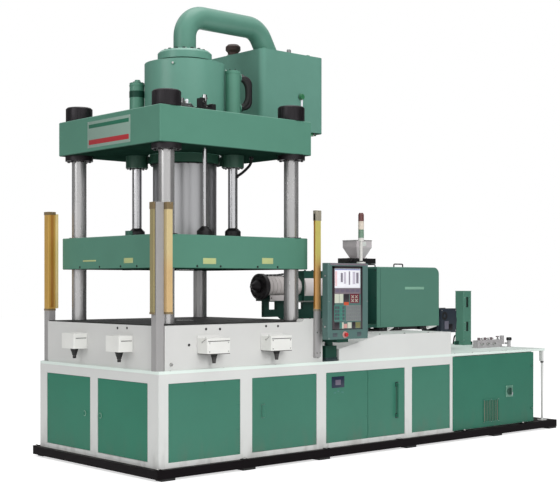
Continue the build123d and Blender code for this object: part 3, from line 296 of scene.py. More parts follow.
def enamel(name, colour, roughness, mottle=0.10, dust=0.22, dirt=0.0, gloss=0.3, under=None):
    """Sprayed machine paint: cloudy tone, orange peel, dust on ledges, grime near the floor and, where an
    underside colour is given, painted shade on undersides.
    """
    mix = Finish(name)
    cloud = mix.noise(0.9, 4.0)
    patch = mix.noise(5.5, 5.0, roughness=0.6)
    speck = mix.noise(90.0)
    base = mix.grey((cloud - 0.5) * (2.0 * mottle) + (patch - 0.5) * mottle + 1.0) * colour
    ledge = mix.upward() * mix.ramp(patch, 0.3, 0.7) * dust
    base = mix.blend(ledge, base, card(206, 206, 198))
    if dirt > 0.0:
        low = mix.ramp(mix.place.part(2), 0.42, 0.08)
        low = low * mix.ramp(mix.noise(9.0, 6.0, (1.0, 1.0, 0.35)), 0.42, 0.72)
        base = mix.blend(low * dirt, base, card(112, 104, 96))
    rough = (patch - 0.5) * 0.16 + (speck - 0.5) * 0.06 + roughness + ledge * 0.5
    peel = mix.bump(mix.noise(230.0), 0.12, 0.0008)
    # Painted shade on undersides: a darker, mottled colour for the matt underside shader.
    if under is not None:
        shade = card(*under)
        under = mix.blend(mix.ramp(patch, 0.35, 0.75), shade, [channel * 0.7 for channel in shade])
    mix.surface(under, Base_Color=base, Roughness=rough, Normal=peel, Specular_IOR_Level=gloss)


def ground_metal(name, colour, roughness, along=(1.0, 1.0, 0.03), streaks=90.0, stain=0.12, metallic=1.0,
                 cut=1.0):
    """Ground or turned metal with fine streaks across its grinding and faint oil stains."""
    mix = Finish(name)
    streak = mix.noise(streaks, 3.0, along)
    cloud = mix.noise(2.2, 4.0)
    base = mix.grey((streak - 0.5) * (0.16 * cut) + (cloud - 0.5) * stain + 1.0) * colour
    rough = (streak - 0.5) * 0.14 + mix.ramp(cloud, 0.45, 0.75, 0.0, 0.12) + roughness
    mix.surface(Base_Color=base, Metallic=metallic, Roughness=rough, Normal=mix.bump(streak, 0.06 * cut))


def cast_plastic(name, colour, roughness=0.4, depth=0.25):
    """Moulded plastic or rubber with a fine grain and a little dust."""
    mix = Finish(name)
    pebble = mix.noise(260.0, 3.0)
    cloud = mix.noise(3.0, 4.0)
    base = mix.grey((cloud - 0.5) * 0.18 + (pebble - 0.5) * 0.08 + 1.0) * colour
    base = mix.blend(mix.upward() * mix.ramp(cloud, 0.35, 0.7) * 0.12, base, card(190, 188, 180))
    rough = (pebble - 0.5) * 0.12 + roughness
    mix.surface(Base_Color=base, Roughness=rough, Normal=mix.bump(pebble, depth))


def screen_glass(name, colour, glow, roughness=0.12):
    """A glowing field under glass, plain and a little uneven: lit screens, and painted glow on the small
    parts that wear it.
    """
    mix = Finish(name)
    cloud = mix.noise(14.0, 3.0)
    base = mix.grey((cloud - 0.5) * 0.12 + 1.0) * colour
    rough = mix.noise(60.0) * 0.1 + roughness
    mix.surface(Base_Color=base, Roughness=rough, Emission_Color=base, Emission_Strength=glow)


def banded(name, low_colour, high_colour, height, softness):
    """A paint that changes colour at a height of the machine, in millimetres."""
    mix = Finish(name)
    mix.brushed(mix.blend(mix.step_at(height, softness), low_colour, high_colour))


def curtain_paint(name, height, softness):
    """Paint of the light curtains, its tone set by place: darker olive at the far left, pale in the middle,
    the curtain colours at the right and amber behind the front edge; middle and right turn more orange
    below a height.
    """
    mix = Finish(name)
    share = mix.step_at(height, softness)
    hue = bpy.context.scene.machine_colours
    right = mix.blend(share, hue.curtain_low, hue.curtain)
    corner = mix.blend(share, card(212, 180, 128), card(212, 192, 142))
    across = mix.place.part(0)
    front = mix.blend(across > (40.0 * millimetre + machine_origin.x), card(152, 140, 98), corner)
    front = mix.blend(across > (1000.0 * millimetre + machine_origin.x), front, right)
    mix.brushed(mix.blend(mix.place.part(1) > 0.0, front, card(196, 154, 74)))


def capped_rod(name, height):
    """Ground rod over a black nut that ends at a height of the machine, in millimetres."""
    mix = Finish(name)
    above = mix.place.part(2) > height * millimetre
    streak = mix.noise(90.0, 3.0, (1.0, 1.0, 0.03))
    base = mix.blend(above, card(38, 36, 38), card(204, 204, 206))
    base = base * mix.grey((streak - 0.5) * 0.16 + 1.0)
    rough = (streak - 0.5) * 0.14 + 0.36 - above * 0.18
    mix.surface(Base_Color=base, Metallic=above * 0.6 + 0.4, Roughness=rough, Normal=mix.bump(streak, 0.06))


def tower_glass(name, pole, lenses):
    """The signal tower's white pole and its coloured lenses, each from its height in millimetres up."""
    mix = Finish(name)
    base = pole
    for level, colour in lenses:
        base = mix.blend(mix.place.part(2) > level * millimetre, base, colour)
    rib = mix.noise(160.0, 1.0, (0.05, 0.05, 1.0))
    rough = (rib - 0.5) * 0.2 + 0.28
    mix.surface(Base_Color=base, Roughness=rough, Normal=mix.bump(rib, 0.25, 0.001), Coat_Weight=0.3)


# Paints: colour or the name of its setting, roughness, mottle, dust, dirt, gloss, painted shade colour of
# undersides
enamels = {
    "press paint": ("press", 0.38, 0.09, 0.12),
    # Crown, moving platen and tank take a dark matt green on their undersides: painted shade.
    "crown paint": ("press", 0.38, 0.09, 0.12, 0, 0.3, (34, 60, 50)),
    "pipe paint": ((92, 140, 124), 0.36, 0.12, 0.05, 0, 0.4),
    # The main cylinder and its cap wear the press green lightened: painted light.
    "cylinder paint": ((102, 152, 136), 0.32, 0.12, 0.1, 0, 0.45),
    "tank paint": ((100, 148, 133), 0.38, 0.1, 0.1, 0, 0.3, (34, 60, 50)),
    # The ram gland under the crown wears a dark green as painted shade.
    "gland paint": ((44, 82, 66), 0.42, 0.12, 0.22, 0, 0.3, (30, 52, 44)),
    "panel paint": ("panels", 0.34, 0.13, 0.22, 0.25),
    "end door paint": ((50, 126, 102), 0.4, 0.16, 0.22, 0.12, 0.15),
    "cabinet paint": ((54, 117, 97), 0.4, 0.16, 0.22, 0.12, 0.15),
    "unit paint": ("unit", 0.4, 0.08),
    "carriage paint": ("unit_dark", 0.4, 0.2),
    "desk paint": ("desk", 0.36),
    "frame paint": ("frame", 0.32, 0.045, 0.1, 0.3),
    "block paint": ((218, 218, 216), 0.32, 0.045, 0.1, 0.3),
    "deck paint": ((236, 248, 242), 0.36, 0.045, 0, 0.3),
    "post grey": ((164, 162, 162), 0.4, 0.08, 0),
    # Dark green that stands for painted shade on the panel post and arm, under the cylinder cap and round
    # the rear return cylinder; the terminal box feet wear it too.
    "post dark": ((26, 66, 54), 0.42, 0.16, 0.22, 0, 0.2),
    "plinth paint": ("plinth", 0.6, 0.5, 0.08, 0, 0.08),
    "platen steel": ((40, 42, 42), 0.6, 0.3, 0.1, 0, 0.08),
    "pump paint": ((60, 88, 110), 0.4),
    "terminal paint": ((80, 130, 112), 0.4),
    "label plate": ("label", 0.3, 0.12, 0),
    "pale plate": ((98, 144, 126), 0.36, 0.06, 0),
    "crown plate": ((140, 166, 154), 0.3, 0.06, 0),
    "plate red": ((176, 52, 58), 0.3, 0.1, 0),
    "plate green": ((44, 112, 88), 0.3, 0.1, 0),
    "slate plate": ((34, 44, 66), 0.4, 0.15, 0),
    "slate dark": ((38, 54, 56), 0.4),
    "manifold grey": ((178, 174, 176), 0.42, 0.1, 0),
    "motor dark": ((42, 50, 60), 0.45, 0.14, 0.08),
    "breather brown": ((66, 50, 46), 0.45, 0.3, 0.1),
    "unit strip": ((132, 178, 156), 0.36, 0.08, 0),
}

# Metals: colour, roughness and what differs from a rod that was ground upright
metals = {
    "column chrome": ((186, 185, 185), 0.24, {"cut": 0.7, "metallic": 0.72}),
    "ram steel": ((172, 172, 174), 0.3, {"stain": 0.04, "cut": 0.25}),
    "rail steel": ((176, 176, 178), 0.3, {"along": (0.03, 1, 1)}),
    "blued steel": ((52, 58, 64), 0.34, {"metallic": 0.85, "stain": 0.3}),
    "plate zinc": ((196, 194, 186), 0.4, {"along": (1, 1, 1), "streaks": 40}),
    "bright steel": ((190, 190, 188), 0.26, {}),
    "valve steel": ((148, 150, 150), 0.38, {"along": (1, 1, 1)}),
    "barrel steel": ((226, 218, 218), 0.42, {"along": (0.05, 1, 1), "metallic": 0}),
    "band steel": ((226, 217, 216), 0.42, {"along": (1, 0.1, 0.1), "metallic": 0}),
    "nut black": ((40, 37, 40), 0.38, {"metallic": 0.6, "along": (1, 1, 0.2)}),
}

# Plastics and rubber: colour, roughness, depth of the grain
plastics = {
    "black plastic": ((24, 24, 26), 0.42), "black rubber": ((20, 20, 20), 0.62),
    "nozzle black": ((40, 34, 38), 0.5, 0.4), "connector grey": ((222, 222, 220), 0.5),
    "switch green": ((58, 92, 80),), "valve handle": ((124, 110, 114),),
    "filter pale": ((176, 174, 156), 0.6), "cap grey": ((152, 146, 130), 0.5),
    "cap brown": ((124, 106, 74), 0.5), "lens amber": ((168, 116, 44), 0.3),
    "lens pale": ((238, 216, 150), 0.3), "motor mauve": ((100, 98, 112), 0.45),
    "stop red": ("stop", 0.32), "knob green": ((48, 116, 76), 0.36),
    # The black of holes, slots and vents is painted shade: a flat black that stands in for the dark inside
    # them.
    "bezel black": ((44, 32, 38), 0.35), "hole black": ((9, 9, 10), 0.7),
    "key pink": ((212, 156, 150),), "key cream": ((208, 212, 196),),
    "key olive": ((122, 122, 78),), "key orange": ((198, 84, 52),),
    "key teal": ((66, 128, 116),), "key crimson": ((110, 34, 50),),
    "key ink": ((44, 40, 46),), "key grey": ((122, 126, 128),),
    "key slate": ((74, 86, 90),), "desk grey": ((126, 132, 130), 0.45),
    "desk mauve": ((124, 112, 122),), "desk violet": ((108, 100, 118),),
    "wire blue": ((46, 78, 140), 0.45), "wire red": ((160, 44, 40), 0.45),
    "wire black": ((22, 22, 24), 0.45), "wire yellow": ((204, 178, 62), 0.45),
}

# Glass: colour, glow, roughness
glasses = {
    "screen white": ((232, 232, 238), 0.18), "screen grey": ((134, 128, 142), 0.05),
    "screen mist": ((196, 190, 204), 0.1), "screen blue": ((124, 132, 186), 0.08),
    "screen blush": ((236, 200, 204), 0.12), "sight glass": ((220, 224, 220), 0, 0.08),
}

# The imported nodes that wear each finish
worn_by = {
    "plinth paint": "plinth",
    "frame paint": "base_front_frame base_rear_frame base_end_frame "
                   "injection_bed electric_cabinet support_leg",
    "deck paint": "base_deck",
    "block paint": "lower_block",
    "post grey": "curtain_posts",
    # The panel post and arm wear painted shade.
    "post dark": "panel_post panel_arm",
    "panel paint": "cover_panels front_door_left front_door_right",
    "end door paint": "end_door_front end_door_rear",
    "cabinet paint": "cabinet_door",
    "crown paint": "crown moving_platen",
    "cylinder paint": "main_cylinder cylinder_cap",
    "gland paint": "ram_gland",
    "pipe paint": "prefill_pipe",
    "tank paint": "oil_tank",
    "return paint": "return_cylinders",
    "breather brown": "tank_breather",
    "platen steel": "lower_platen",
    "column chrome": "columns",
    "nut black": "column_nuts column_collars pressure_pipe",
    "ram steel": "main_ram",
    "return rod steel": "return_rods",
    "stroke rod steel": "stroke_rod",
    "rail steel": "slide_rails",
    "valve steel": "valve_block",
    "barrel steel": "injection_barrel",
    "nozzle black": "nozzle_head",
    "unit paint": "unit_cover",
    "carriage paint": "injection_carriage",
    "motor dark": "drive_motor",
    "hopper paint": "feed_hopper",
    "desk paint": "control_panel",
    "curtain paint": "light_curtains",
    "connector paint": "connector_boxes",
    "tower glass": "signal_tower",
    "stop red": "emergency_stop",
    "key pink": "start_button",
    "switch green": "main_switch",
    "plate zinc": "mounting_plate",
    "pump paint": "pump_unit",
    "terminal paint": "terminal_box",
    "manifold grey": "water_manifold",
    "valve handle": "water_valve_1 water_valve_2 water_valve_3",
    "black plastic": "stroke_sensor slide_blocks",
    "black rubber": "levelling_pads",
}


class MixFinishes(bpy.types.Operator):
    """Mix every paint, metal, plastic and rubber of the machine"""

    bl_idname = "machine.mix_finishes"
    bl_label = "Mix finishes"

    def execute(self, context):
        hue = context.scene.machine_colours
        for maker, table in ((enamel, enamels), (cast_plastic, plastics), (screen_glass, glasses)):
            for name, (colour, *settings) in table.items():
                maker(name, getattr(hue, colour) if isinstance(colour, str) else card(*colour), *settings)
        for name, (colour, roughness, settings) in metals.items():
            ground_metal(name, card(*colour), roughness, **settings)
        curtain_paint("curtain paint", 1830.0, 110.0)
        banded("connector paint", card(52, 50, 50), card(238, 238, 234), 1040.0, 2.0)
        # Below the crown the return cylinders turn dark green: painted shade.
        banded("return paint", card(46, 84, 68), hue.press, extent("crown")[0].z + 20.0, 6.0)
        hopper_plate = extent("feed_hopper")[0].z + 57.0
        banded("hopper paint", card(30, 28, 30), card(200, 194, 196), hopper_plate, 1.5)
        platen_top = extent("moving_platen")[1].z
        capped_rod("return rod steel", platen_top + 95.5)
        capped_rod("stroke rod steel", platen_top + 82.5)
        low, high = extent("signal_tower")
        lens = (high.z - low.z) * 0.165
        tones = (card(116, 146, 126), card(224, 212, 198), card(104, 62, 60))
        levels = [high.z - number * lens for number in (3, 2, 1)]
        tower_glass("tower glass", card(222, 220, 216), zip(levels, tones))
        return {"FINISHED"}


class FinishNodes(bpy.types.Operator):
    """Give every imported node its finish"""

    bl_idname = "machine.finish_nodes"
    bl_label = "Finish the packed nodes"

    def execute(self, context):
        for finish, names in worn_by.items():
            for name in names.split():
                node = frame["nodes"][name]
                if not node.material_slots:
                    node.data.materials.append(finishes[finish])
                for slot in node.material_slots:
                    slot.material = finishes[finish]
        return {"FINISHED"}


# Forms of the fine pieces, all in the machine's millimetres

class Piece:
    """One fine piece: forms gathered into a mesh. Its places are measured from a node's lowest corner."""

    def __init__(self, name, node=None):
        self.name = name
        self.low, self.high = extent(node) if node else (Vector(), Vector())
        self.size = self.high - self.low
        self.points = []
        self.faces = []
        self.marks = []
        self.wears = []

    def add(self, points, faces, finish):
        if finish not in self.wears:
            self.wears.append(finish)
        start = len(self.points)
        self.points.extend(points)
        self.faces.extend([start + index for index in face] for face in faces)
        self.marks.extend([self.wears.index(finish)] * len(faces))

    def _shaped(self, form, finish, edge):
        if edge > 0.0:
            bmesh.ops.bevel(form, geom=form.edges[:], offset=edge, segments=2, profile=0.5,
                            affect="EDGES", clamp_overlap=True)
        bmesh.ops.recalc_face_normals(form, faces=form.faces[:])
        form.verts.index_update()
        points = [vertex.co.copy() for vertex in form.verts]
        faces = [[vertex.index for vertex in face.verts] for face in form.faces]
        form.free()
        self.add(points, faces, finish)

    def block(self, low, high, finish, edge=1.5):
        """A block from corner to corner with softened edges."""
        low, high = Vector(low), Vector(high)
        size = high - low
        form = bmesh.new()
        bmesh.ops.create_cube(form, size=1.0)
        place = Matrix.Translation((low + high) / 2.0) @ Matrix.Diagonal((*size, 1.0))
        bmesh.ops.transform(form, matrix=place, verts=form.verts[:])
        self._shaped(form, finish, min(edge, 0.45 * min(size)))

    def row(self, count, step, low, high, finish, edge=1.5):
        """Like blocks in a row, each moved on by the same step."""
        for index in range(count):
            shift = Vector(step) * index
            self.block(Vector(low) + shift, Vector(high) + shift, finish, edge)

    def plate(self, outline, low, high, across, finish, edge=0.0):
        """An outline drawn square to one axis and thickened along it from low to high."""
        axes = {"x": (1, 2, 0), "y": (0, 2, 1), "z": (0, 1, 2)}[across]
        form = bmesh.new()
        corners = []
        for first, second in outline:
            point = Vector((0.0, 0.0, 0.0))
            point[axes[0]], point[axes[1]], point[axes[2]] = first, second, low
            corners.append(form.verts.new(point))
        face = form.faces.new(corners)
        grown = bmesh.ops.extrude_face_region(form, geom=[face])
        moved = [item for item in grown["geom"] if isinstance(item, bmesh.types.BMVert)]
        shift = Vector((0.0, 0.0, 0.0))
        shift[axes[2]] = high - low
        bmesh.ops.translate(form, vec=shift, verts=moved)
        self._shaped(form, finish, edge)

    def turned(self, foot, axis, rows, finish="bright steel", sides=24):
        """A form turned about an axis: rows of radius and height, with 6 as third value for a hexagon."""
        turn = UP.rotation_difference(Vector(axis)).to_matrix()
        foot = Vector(foot)
        points = []
        rings = []
        faces = []
        for row in rows:
            radius, height = row[:2]
            ring = []
            for side in range(sides if radius > 0.0 else 1):
                angle = 2.0 * math.pi * side / sides
                reach = radius
                if len(row) > 2:
                    half = math.pi / row[2]
                    reach = radius * math.cos(half) / math.cos(angle % (2.0 * half) - half)
                ring.append(len(points))
                place = Vector((reach * math.cos(angle), reach * math.sin(angle), height))
                points.append(foot + turn @ place)
            rings.append(ring)
        for lower, upper in zip(rings, rings[1:]):
            for side in range(sides):
                after = (side + 1) % sides
                if len(lower) == 1 and len(upper) == 1:
                    continue
                if len(lower) == 1:
                    faces.append([lower[0], upper[after], upper[side]])
                elif len(upper) == 1:
                    faces.append([lower[side], lower[after], upper[0]])
                else:
                    faces.append([lower[side], lower[after], upper[after], upper[side]])
        self.add(points, faces, finish)

    def drum(self, foot, axis, radius, height, finish, edge=1.5, sides=24):
        """A round solid with softened rims."""
        rim = radius - edge
        rows = [(0, 0), (rim, 0), (radius, edge), (radius, height - edge), (rim, height), (0, height)]
        self.turned(foot, axis, rows, finish, sides)

    def ring(self, foot, axis, inner, outer, height, finish, edge=1.0, sides=32):
        """A round ring with softened rims."""
        rim = outer - edge
        rows = [(inner, 0), (rim, 0), (outer, edge), (outer, height - edge), (rim, height), (inner, height),
                (inner, 0)]
        self.turned(foot, axis, rows, finish, sides)

    def cap_screw(self, foot, axis, radius, finish="nut black", height=None):
        """A socket head screw with its hexagon socket."""
        tall = height or radius * 1.1
        rows = [(radius, 0), (radius, tall * 0.88), (radius * 0.9, tall), (radius * 0.56, tall, 6),
                (radius * 0.56, tall * 0.4, 6), (0, tall * 0.34)]
        self.turned(foot, axis, rows, finish)

    def hex_head(self, foot, axis, radius, height, finish="bright steel"):
        """A plain hexagon."""
        self.turned(foot, axis, [(radius, 0, 6), (radius, height, 6), (0, height)], finish)

    def hex_bolt(self, foot, axis, radius):
        """A hexagon head on its washer."""
        thin = radius * 0.16
        self.drum(foot, axis, radius * 1.25, thin, "bright steel", edge=thin * 0.3)
        top = Vector(foot) + Vector(axis) * thin
        tall = radius * 0.74
        rows = [(radius, 0, 6), (radius, radius * 0.62, 6), (radius * 0.84, tall), (0, tall)]
        self.turned(top, axis, rows)

    def pan_screw(self, foot, axis, radius, finish="bright steel"):
        """A domed screw head with a cross recess."""
        rows = [(radius, 0), (radius, radius * 0.15), (radius * 0.86, radius * 0.36),
                (radius * 0.55, radius * 0.46), (radius * 0.34, radius * 0.46, 4),
                (radius * 0.2, radius * 0.2, 4), (0, radius * 0.18)]
        self.turned(foot, axis, rows, finish, 16)

    def plug(self, foot, axis, radius, sides=24):
        """A flat screwed plug with a hexagon socket."""
        rows = [(radius, 0), (radius, 2), (radius - 2, 3), (6, 3, 6), (6, 1, 6), (0, 1)]
        self.turned(foot, axis, rows, "nut black", sides)

    def each(self, form, xs, ys, zs, axis, *settings):
        """A form at every crossing of places along x, y and z, each given as one number or as several."""
        rows = [(row,) if isinstance(row, (int, float)) else row for row in (xs, ys, zs)]
        for place in product(*rows):
            form(place, axis, *settings)

    def around(self, form, centre, radius, count, start, axis, *settings):
        """A form at equal steps round an axis."""
        first, second = [index for index in range(3) if not axis[index]]
        for index in range(count):
            angle = start + 2.0 * math.pi * index / count
            place = Vector(centre)
            place[first] += radius * math.cos(angle)
            place[second] += radius * math.sin(angle)
            form(place, axis, *settings)

    def tube(self, path, radius, finish, sides=12):
        """A round bar bent along points, closed at both ends."""
        path = [Vector(point) for point in path]
        points = []
        faces = []
        side_way = None
        for index, point in enumerate(path):
            before = path[max(index - 1, 0)]
            after = path[min(index + 1, len(path) - 1)]
            way = (after - before).normalized()
            if side_way is None:
                side_way = way.orthogonal().normalized()
            side_way = (side_way - way * side_way.dot(way)).normalized()
            other_way = way.cross(side_way)
            for side in range(sides):
                angle = 2.0 * math.pi * side / sides
                points.append(point + (side_way * math.cos(angle) + other_way * math.sin(angle)) * radius)
        for index in range(len(path) - 1):
            row = index * sides
            for side in range(sides):
                after = (side + 1) % sides
                faces.append([row + side, row + after, row + sides + after, row + sides + side])
        faces.append(list(range(sides))[::-1])
        faces.append([len(points) - sides + side for side in range(sides)])
        self.add(points, faces, finish)

    def hose(self, path, bend, radius, finish="black rubber", sides=12, steps=6):
        """A tube along a path whose corners are rounded."""
        path = [Vector(point) for point in path]
        rounded = [path[0]]
        for before, corner, after in zip(path, path[1:], path[2:]):
            start = corner + (before - corner).normalized() * bend
            end = corner + (after - corner).normalized() * bend
            for step in range(steps + 1):
                share = step / steps
                rounded.append(start.lerp(corner, share).lerp(corner.lerp(end, share), share))
        self.tube(rounded + [path[-1]], radius, finish, sides)

    def build(self, body):
        """Makes the object, smooths its rounds and lets it ride on a body."""
        mesh = bpy.data.meshes.new(self.name)
        place = [machine_origin + (self.low + Vector(point)) * millimetre for point in self.points]
        mesh.from_pydata(place, [], self.faces)
        for finish in self.wears:
            mesh.materials.append(finishes[finish])
        mesh.polygons.foreach_set("material_index", self.marks)
        mesh.shade_smooth()
        mesh.set_sharp_from_angle(angle=math.radians(32.0))
        mesh.update()
        piece = bpy.data.objects.new(self.name, mesh)
        bpy.context.scene.collection.objects.link(piece)
        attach(piece, body)


def round_edge(rows, columns):
    """The crossings of rows and columns that lie along the edge of a cover."""
    return [(row, column) for row, column in product(rows, columns)
            if row in (rows[0], rows[-1]) or column in (columns[0], columns[-1])]


# Plan of the press, in the machine's millimetres
column_low, column_high = extent("columns")
column_half = 69
column_places = list(product((column_low.x + column_half, column_high.x - column_half),
                             (column_low.y + column_half, column_high.y - column_half)))
press_middle = middle_of("columns")[:2]
return_low, return_high = extent("return_cylinders")
flange_half = 104.5
return_front = (return_high.x - flange_half, return_low.y + flange_half)
return_rear = (return_low.x + flange_half, return_high.y - flange_half)


class DressCrown(bpy.types.Operator):
    """Slotted nuts, collar screws, plate and fittings of the crown"""

    bl_idname = "machine.crown"
    bl_label = "Crown"

    def execute(self, context):
        self.nuts()
        self.plate()
        self.undersides()
        self.valve()
        self.stroke_switch()
        return {"FINISHED"}

    def nuts(self):
        low, high = extent("column_nuts")
        slots = 8
        turn = 2.0 * math.pi / slots
        half_gap = 0.115
        inner, outer = 116, 126.5
        steps = 6
        for number, (x, y) in enumerate(column_places, 1):
            piece = Piece(f"nut_segments_{number}")
            for index in range(slots):
                start = turn * (index + 0.28) + half_gap
                angles = [start + (turn - 2.0 * half_gap) * step / steps for step in range(steps + 1)]
                rims = [(outer, angle) for angle in angles] + [(inner, angle) for angle in reversed(angles)]
                outline = [(x + reach * math.cos(angle), y + reach * math.sin(angle))
                           for reach, angle in rims]
                piece.plate(outline, low.z + 2, high.z - 12, "z", "nut black", 1.6)
            piece.ring((x, y, high.z - 1.5), UP, 71, 84, 3, "blued steel")
            piece.drum((x, y, extent("columns")[1].z - 0.5), UP, 14, 2, "bright steel", 0.5)
            piece.build("frame")

    def plate(self):
        """The bare plate on the crown's left face, with a band of colour below and above."""
        piece = Piece("crown_plate", "crown")
        y0, y1, z0, z1 = 438, 1128, 33, 273
        thickness = 2
        piece.block((-thickness, y0, z0), (0, y1, z1), "crown plate", 0.8)
        piece.block((-2.6, y0 + 24, z0 + 28), (-thickness, y1 - 24, z0 + 72), "plate red", 0.2)
        piece.block((-2.6, y0 + 24, z1 - 62), (-thickness, y1 - 24, z1 - 28), "plate green", 0.2)
        rivet = [(4, 0), (3.4, 1.2), (1.6, 2), (0, 2.1)]
        piece.each(piece.turned, -thickness, (y0 + 9, (y0 + y1) / 2, y1 - 9), (z0 + 9, z1 - 9), LEFT,
                   rivet, "bright steel", 12)
        piece.build("frame")

    def undersides(self):
        bottom = extent("column_collars")[0].z
        piece = Piece("collar_screws")
        for place in column_places:
            piece.around(piece.cap_screw, (*place, bottom), 100, 6, 0.3, DOWN, 12)
            piece.ring((*place, bottom - 5), UP, 69.6, 84, 6, "black rubber")
        piece.build("frame")
        bottom = extent("ram_gland")[0].z
        piece = Piece("gland_screws")
        piece.around(piece.cap_screw, (*press_middle, bottom), 316, 20, 0.08, DOWN, 9.5)
        piece.ring((*press_middle, bottom - 7), UP, 300.6, 307, 8, "black rubber", 1, 64)
        piece.build("frame")
        piece = Piece("return_gland_screws")
        for place in (return_front, return_rear):
            piece.around(piece.cap_screw, (*place, return_low.z), 86, 8, 0.2, DOWN, 9)
            piece.ring((*place, return_low.z - 6), UP, 45.5, 56, 7, "black rubber")
        piece.build("frame")

    def valve(self):
        piece = Piece("valve_fittings", "valve_block")
        width, depth, height = piece.size
        top = height - 48
        middle = depth / 2 + 20
        port = 40
        piece.block((-34, middle - 32, 8), (0, middle + 32, top - 8), "connector grey", 4)
        piece.block((-58, middle - 22, 22), (-34, middle + 22, top - 4), "black plastic", 3)
        piece.drum((width, middle, port), RIGHT, 19, 26, "bright steel", 2)
        piece.hex_head((width + 26, middle, port), RIGHT, 24, 14, "valve steel")
        piece.drum((92, middle, top), UP, 15, 44, "screen white", 3)
        piece.drum((64, middle - 14, top), UP, 9, 26, "bright steel")
        piece.each(piece.cap_screw, (12, width - 12), 52, top, UP, 7, "bright steel")
        path = [(width + 40, middle, port), (width + 90, middle, port), (width + 120, middle + 130, 34),
                (322, 313, 30)]
        piece.hose(path, 28, 12)
        piece.build("frame")

    def stroke_switch(self):
        piece = Piece("switch_fittings", "stroke_sensor")
        width, depth, height = piece.size
        socket = height - 34
        piece.drum((20, 35, height), UP, 9, 8, "black plastic")
        piece.hex_head((20, 0, socket), FRONT, 11, 9)
        piece.hose([(20, -6, socket), (20, -34, socket), (20, -34, 14), (-30, 116, 20)], 16, 5)
        piece.block((42, 24, height - 26), (62, 34, height - 16), "bright steel", 1)
        base = 34
        piece.block((width - 42, 12, base + 32), (width - 8, 60, base + 35), "connector grey", 1)
        for x, y in ((10, depth - 12), (width - 10, depth - 12), (66, 12)):
            piece.cap_screw((x, y, base), UP, 6, "bright steel")
        piece.build("frame")
        piece = Piece("stroke_rod_end", "stroke_rod")
        x, y, top = piece.size.x / 2, piece.size.y / 2, piece.size.z
        collar = [(20, 0), (27, 2), (27, 14), (20, 16), (20, 0)]
        piece.turned((x, y, top - 40), UP, collar, "bright steel", 32)
        piece.turned((x, y, top), UP, [(13, 0, 6), (13, 5, 6), (10, 6), (0, 6)])
        piece.build("platen")


class DressCylinders(bpy.types.Operator):
    """Screws, unions and bleed fittings of the cylinders and their pipes"""

    bl_idname = "machine.cylinders"
    bl_label = "Cylinders"

    def execute(self, context):
        self.cap(context.scene.machine_sizes)
        self.weld()
        self.return_ends()
        self.unions()
        return {"FINISHED"}

    def cap(self, sizes):
        low, high = extent("cylinder_cap")
        piece = Piece("cap_screws")
        # Painted shadow: a dark ring under the cylinder cap.
        piece.ring((*press_middle, low.z - 1), UP, 250, 257.5, 9, "post dark", 1, 72)
        radius = sizes.cap_screw / millimetre
        piece.around(piece.cap_screw, (*press_middle, high.z), 190, sizes.cap_screws, 0.1, UP, radius)
        piece.around(piece.hex_bolt, (*press_middle, high.z + 18), 122, 8, 0.2, UP, 10)
        piece.build("frame")
        foot = (extent("prefill_pipe")[1].x - 135, press_middle[1])
        tank_top = extent("oil_tank")[1].z
        piece = Piece("pipe_foot_bolts")
        piece.around(piece.hex_bolt, (*foot, tank_top + 18), 128, 8, 0.39, UP, 6)
        piece.ring((*foot, tank_top), UP, 124, 142, 5, "press paint", 2, 48)
        piece.ring((*press_middle, high.z + 18), UP, 106, 113, 6, "press paint", 2.5, 48)
        piece.build("frame")

    def weld(self):
        """The bead round the cylinder's foot, and its bleed screws."""
        piece = Piece("cylinder_weld")
        bead = [(377, 0), (390, 1), (386, 7), (377, 12)]
        piece.turned((*press_middle, extent("crown")[1].z), UP, bead, "press paint", 96)
        for angle in (-2.5, -0.62, 2.1):
            way = Vector((math.cos(angle), math.sin(angle), 0))
            place = Vector((*press_middle, extent("main_cylinder")[1].z - 70)) + way * 376
            piece.drum(place, way, 17, 9, "press paint", 2)
            piece.hex_head(place + way * 9, way, 10, 7)
        piece.build("frame")

    def return_ends(self):
        piece = Piece("return_cylinder_ends")
        rear_top = return_high.z - 105
        for place, top in ((return_front, return_high.z), (return_rear, rear_top)):
            piece.ring((*place, top - 30), UP, 69.5, 73, 12, "press paint", 1.5, 40)
            piece.around(piece.cap_screw, (*place, top), 50, 6, 0.3, UP, 8)
        piece.drum((*return_front, return_high.z), UP, 24, 9, "press paint", 2)
        x, y = return_rear
        boss = [(34, 0), (34, 14), (26, 22), (26, 30), (0, 32)]
        piece.turned((x + 4, y - 2, rear_top), UP, boss, "press paint")
        # Painted shade: a dark band round the rear return cylinder.
        piece.ring((x, y, rear_top - 138), UP, 69.4, 73, 60, "post dark", 1, 40)
        piece.build("frame")

    def unions(self):
        """Both unions of the pressure pipe with its sleeve, and the hose under the crown."""
        low, high = extent("pressure_pipe")
        bottom, top = low.z + 22, high.z - 22
        way = Vector((math.cos(math.radians(-20)), math.sin(math.radians(-20)), 0))
        foot = Vector((*return_front, 0))
        piece = Piece("pipe_unions")
        for z in (bottom, top):
            place = foot + UP * z + way * 66
            piece.drum(place, way, 36, 12, "press paint", 2)
            piece.turned(place + way * 12, way, [(34, 0, 6), (34, 22, 6), (26, 26), (0, 26)], "nut black")
        near, far = foot + way * 84, foot + way * 152
        sleeve = [near + UP * bottom, far + UP * (bottom + 38), far + UP * (top - 38), near + UP * top]
        piece.hose(sleeve, 84, 27, "black rubber", 16, 10)
        start = foot + Vector((176, -60, extent("crown")[0].z))
        turns = ((0, 0, 0), (0, 0, -70), (-100, 10, -160), (-150, 20, -190))
        path = [start + Vector(turn) for turn in turns]
        piece.hose(path, 45, 13)
        piece.turned(path[-1], (path[-1] - path[-2]).normalized(),
                     [(18, 0, 6), (18, 22, 6), (12, 26), (12, 34), (0, 36)], "nut black")
        piece.drum(start - UP * 22, UP, 20, 22, "nut black", 2)
        piece.build("frame")


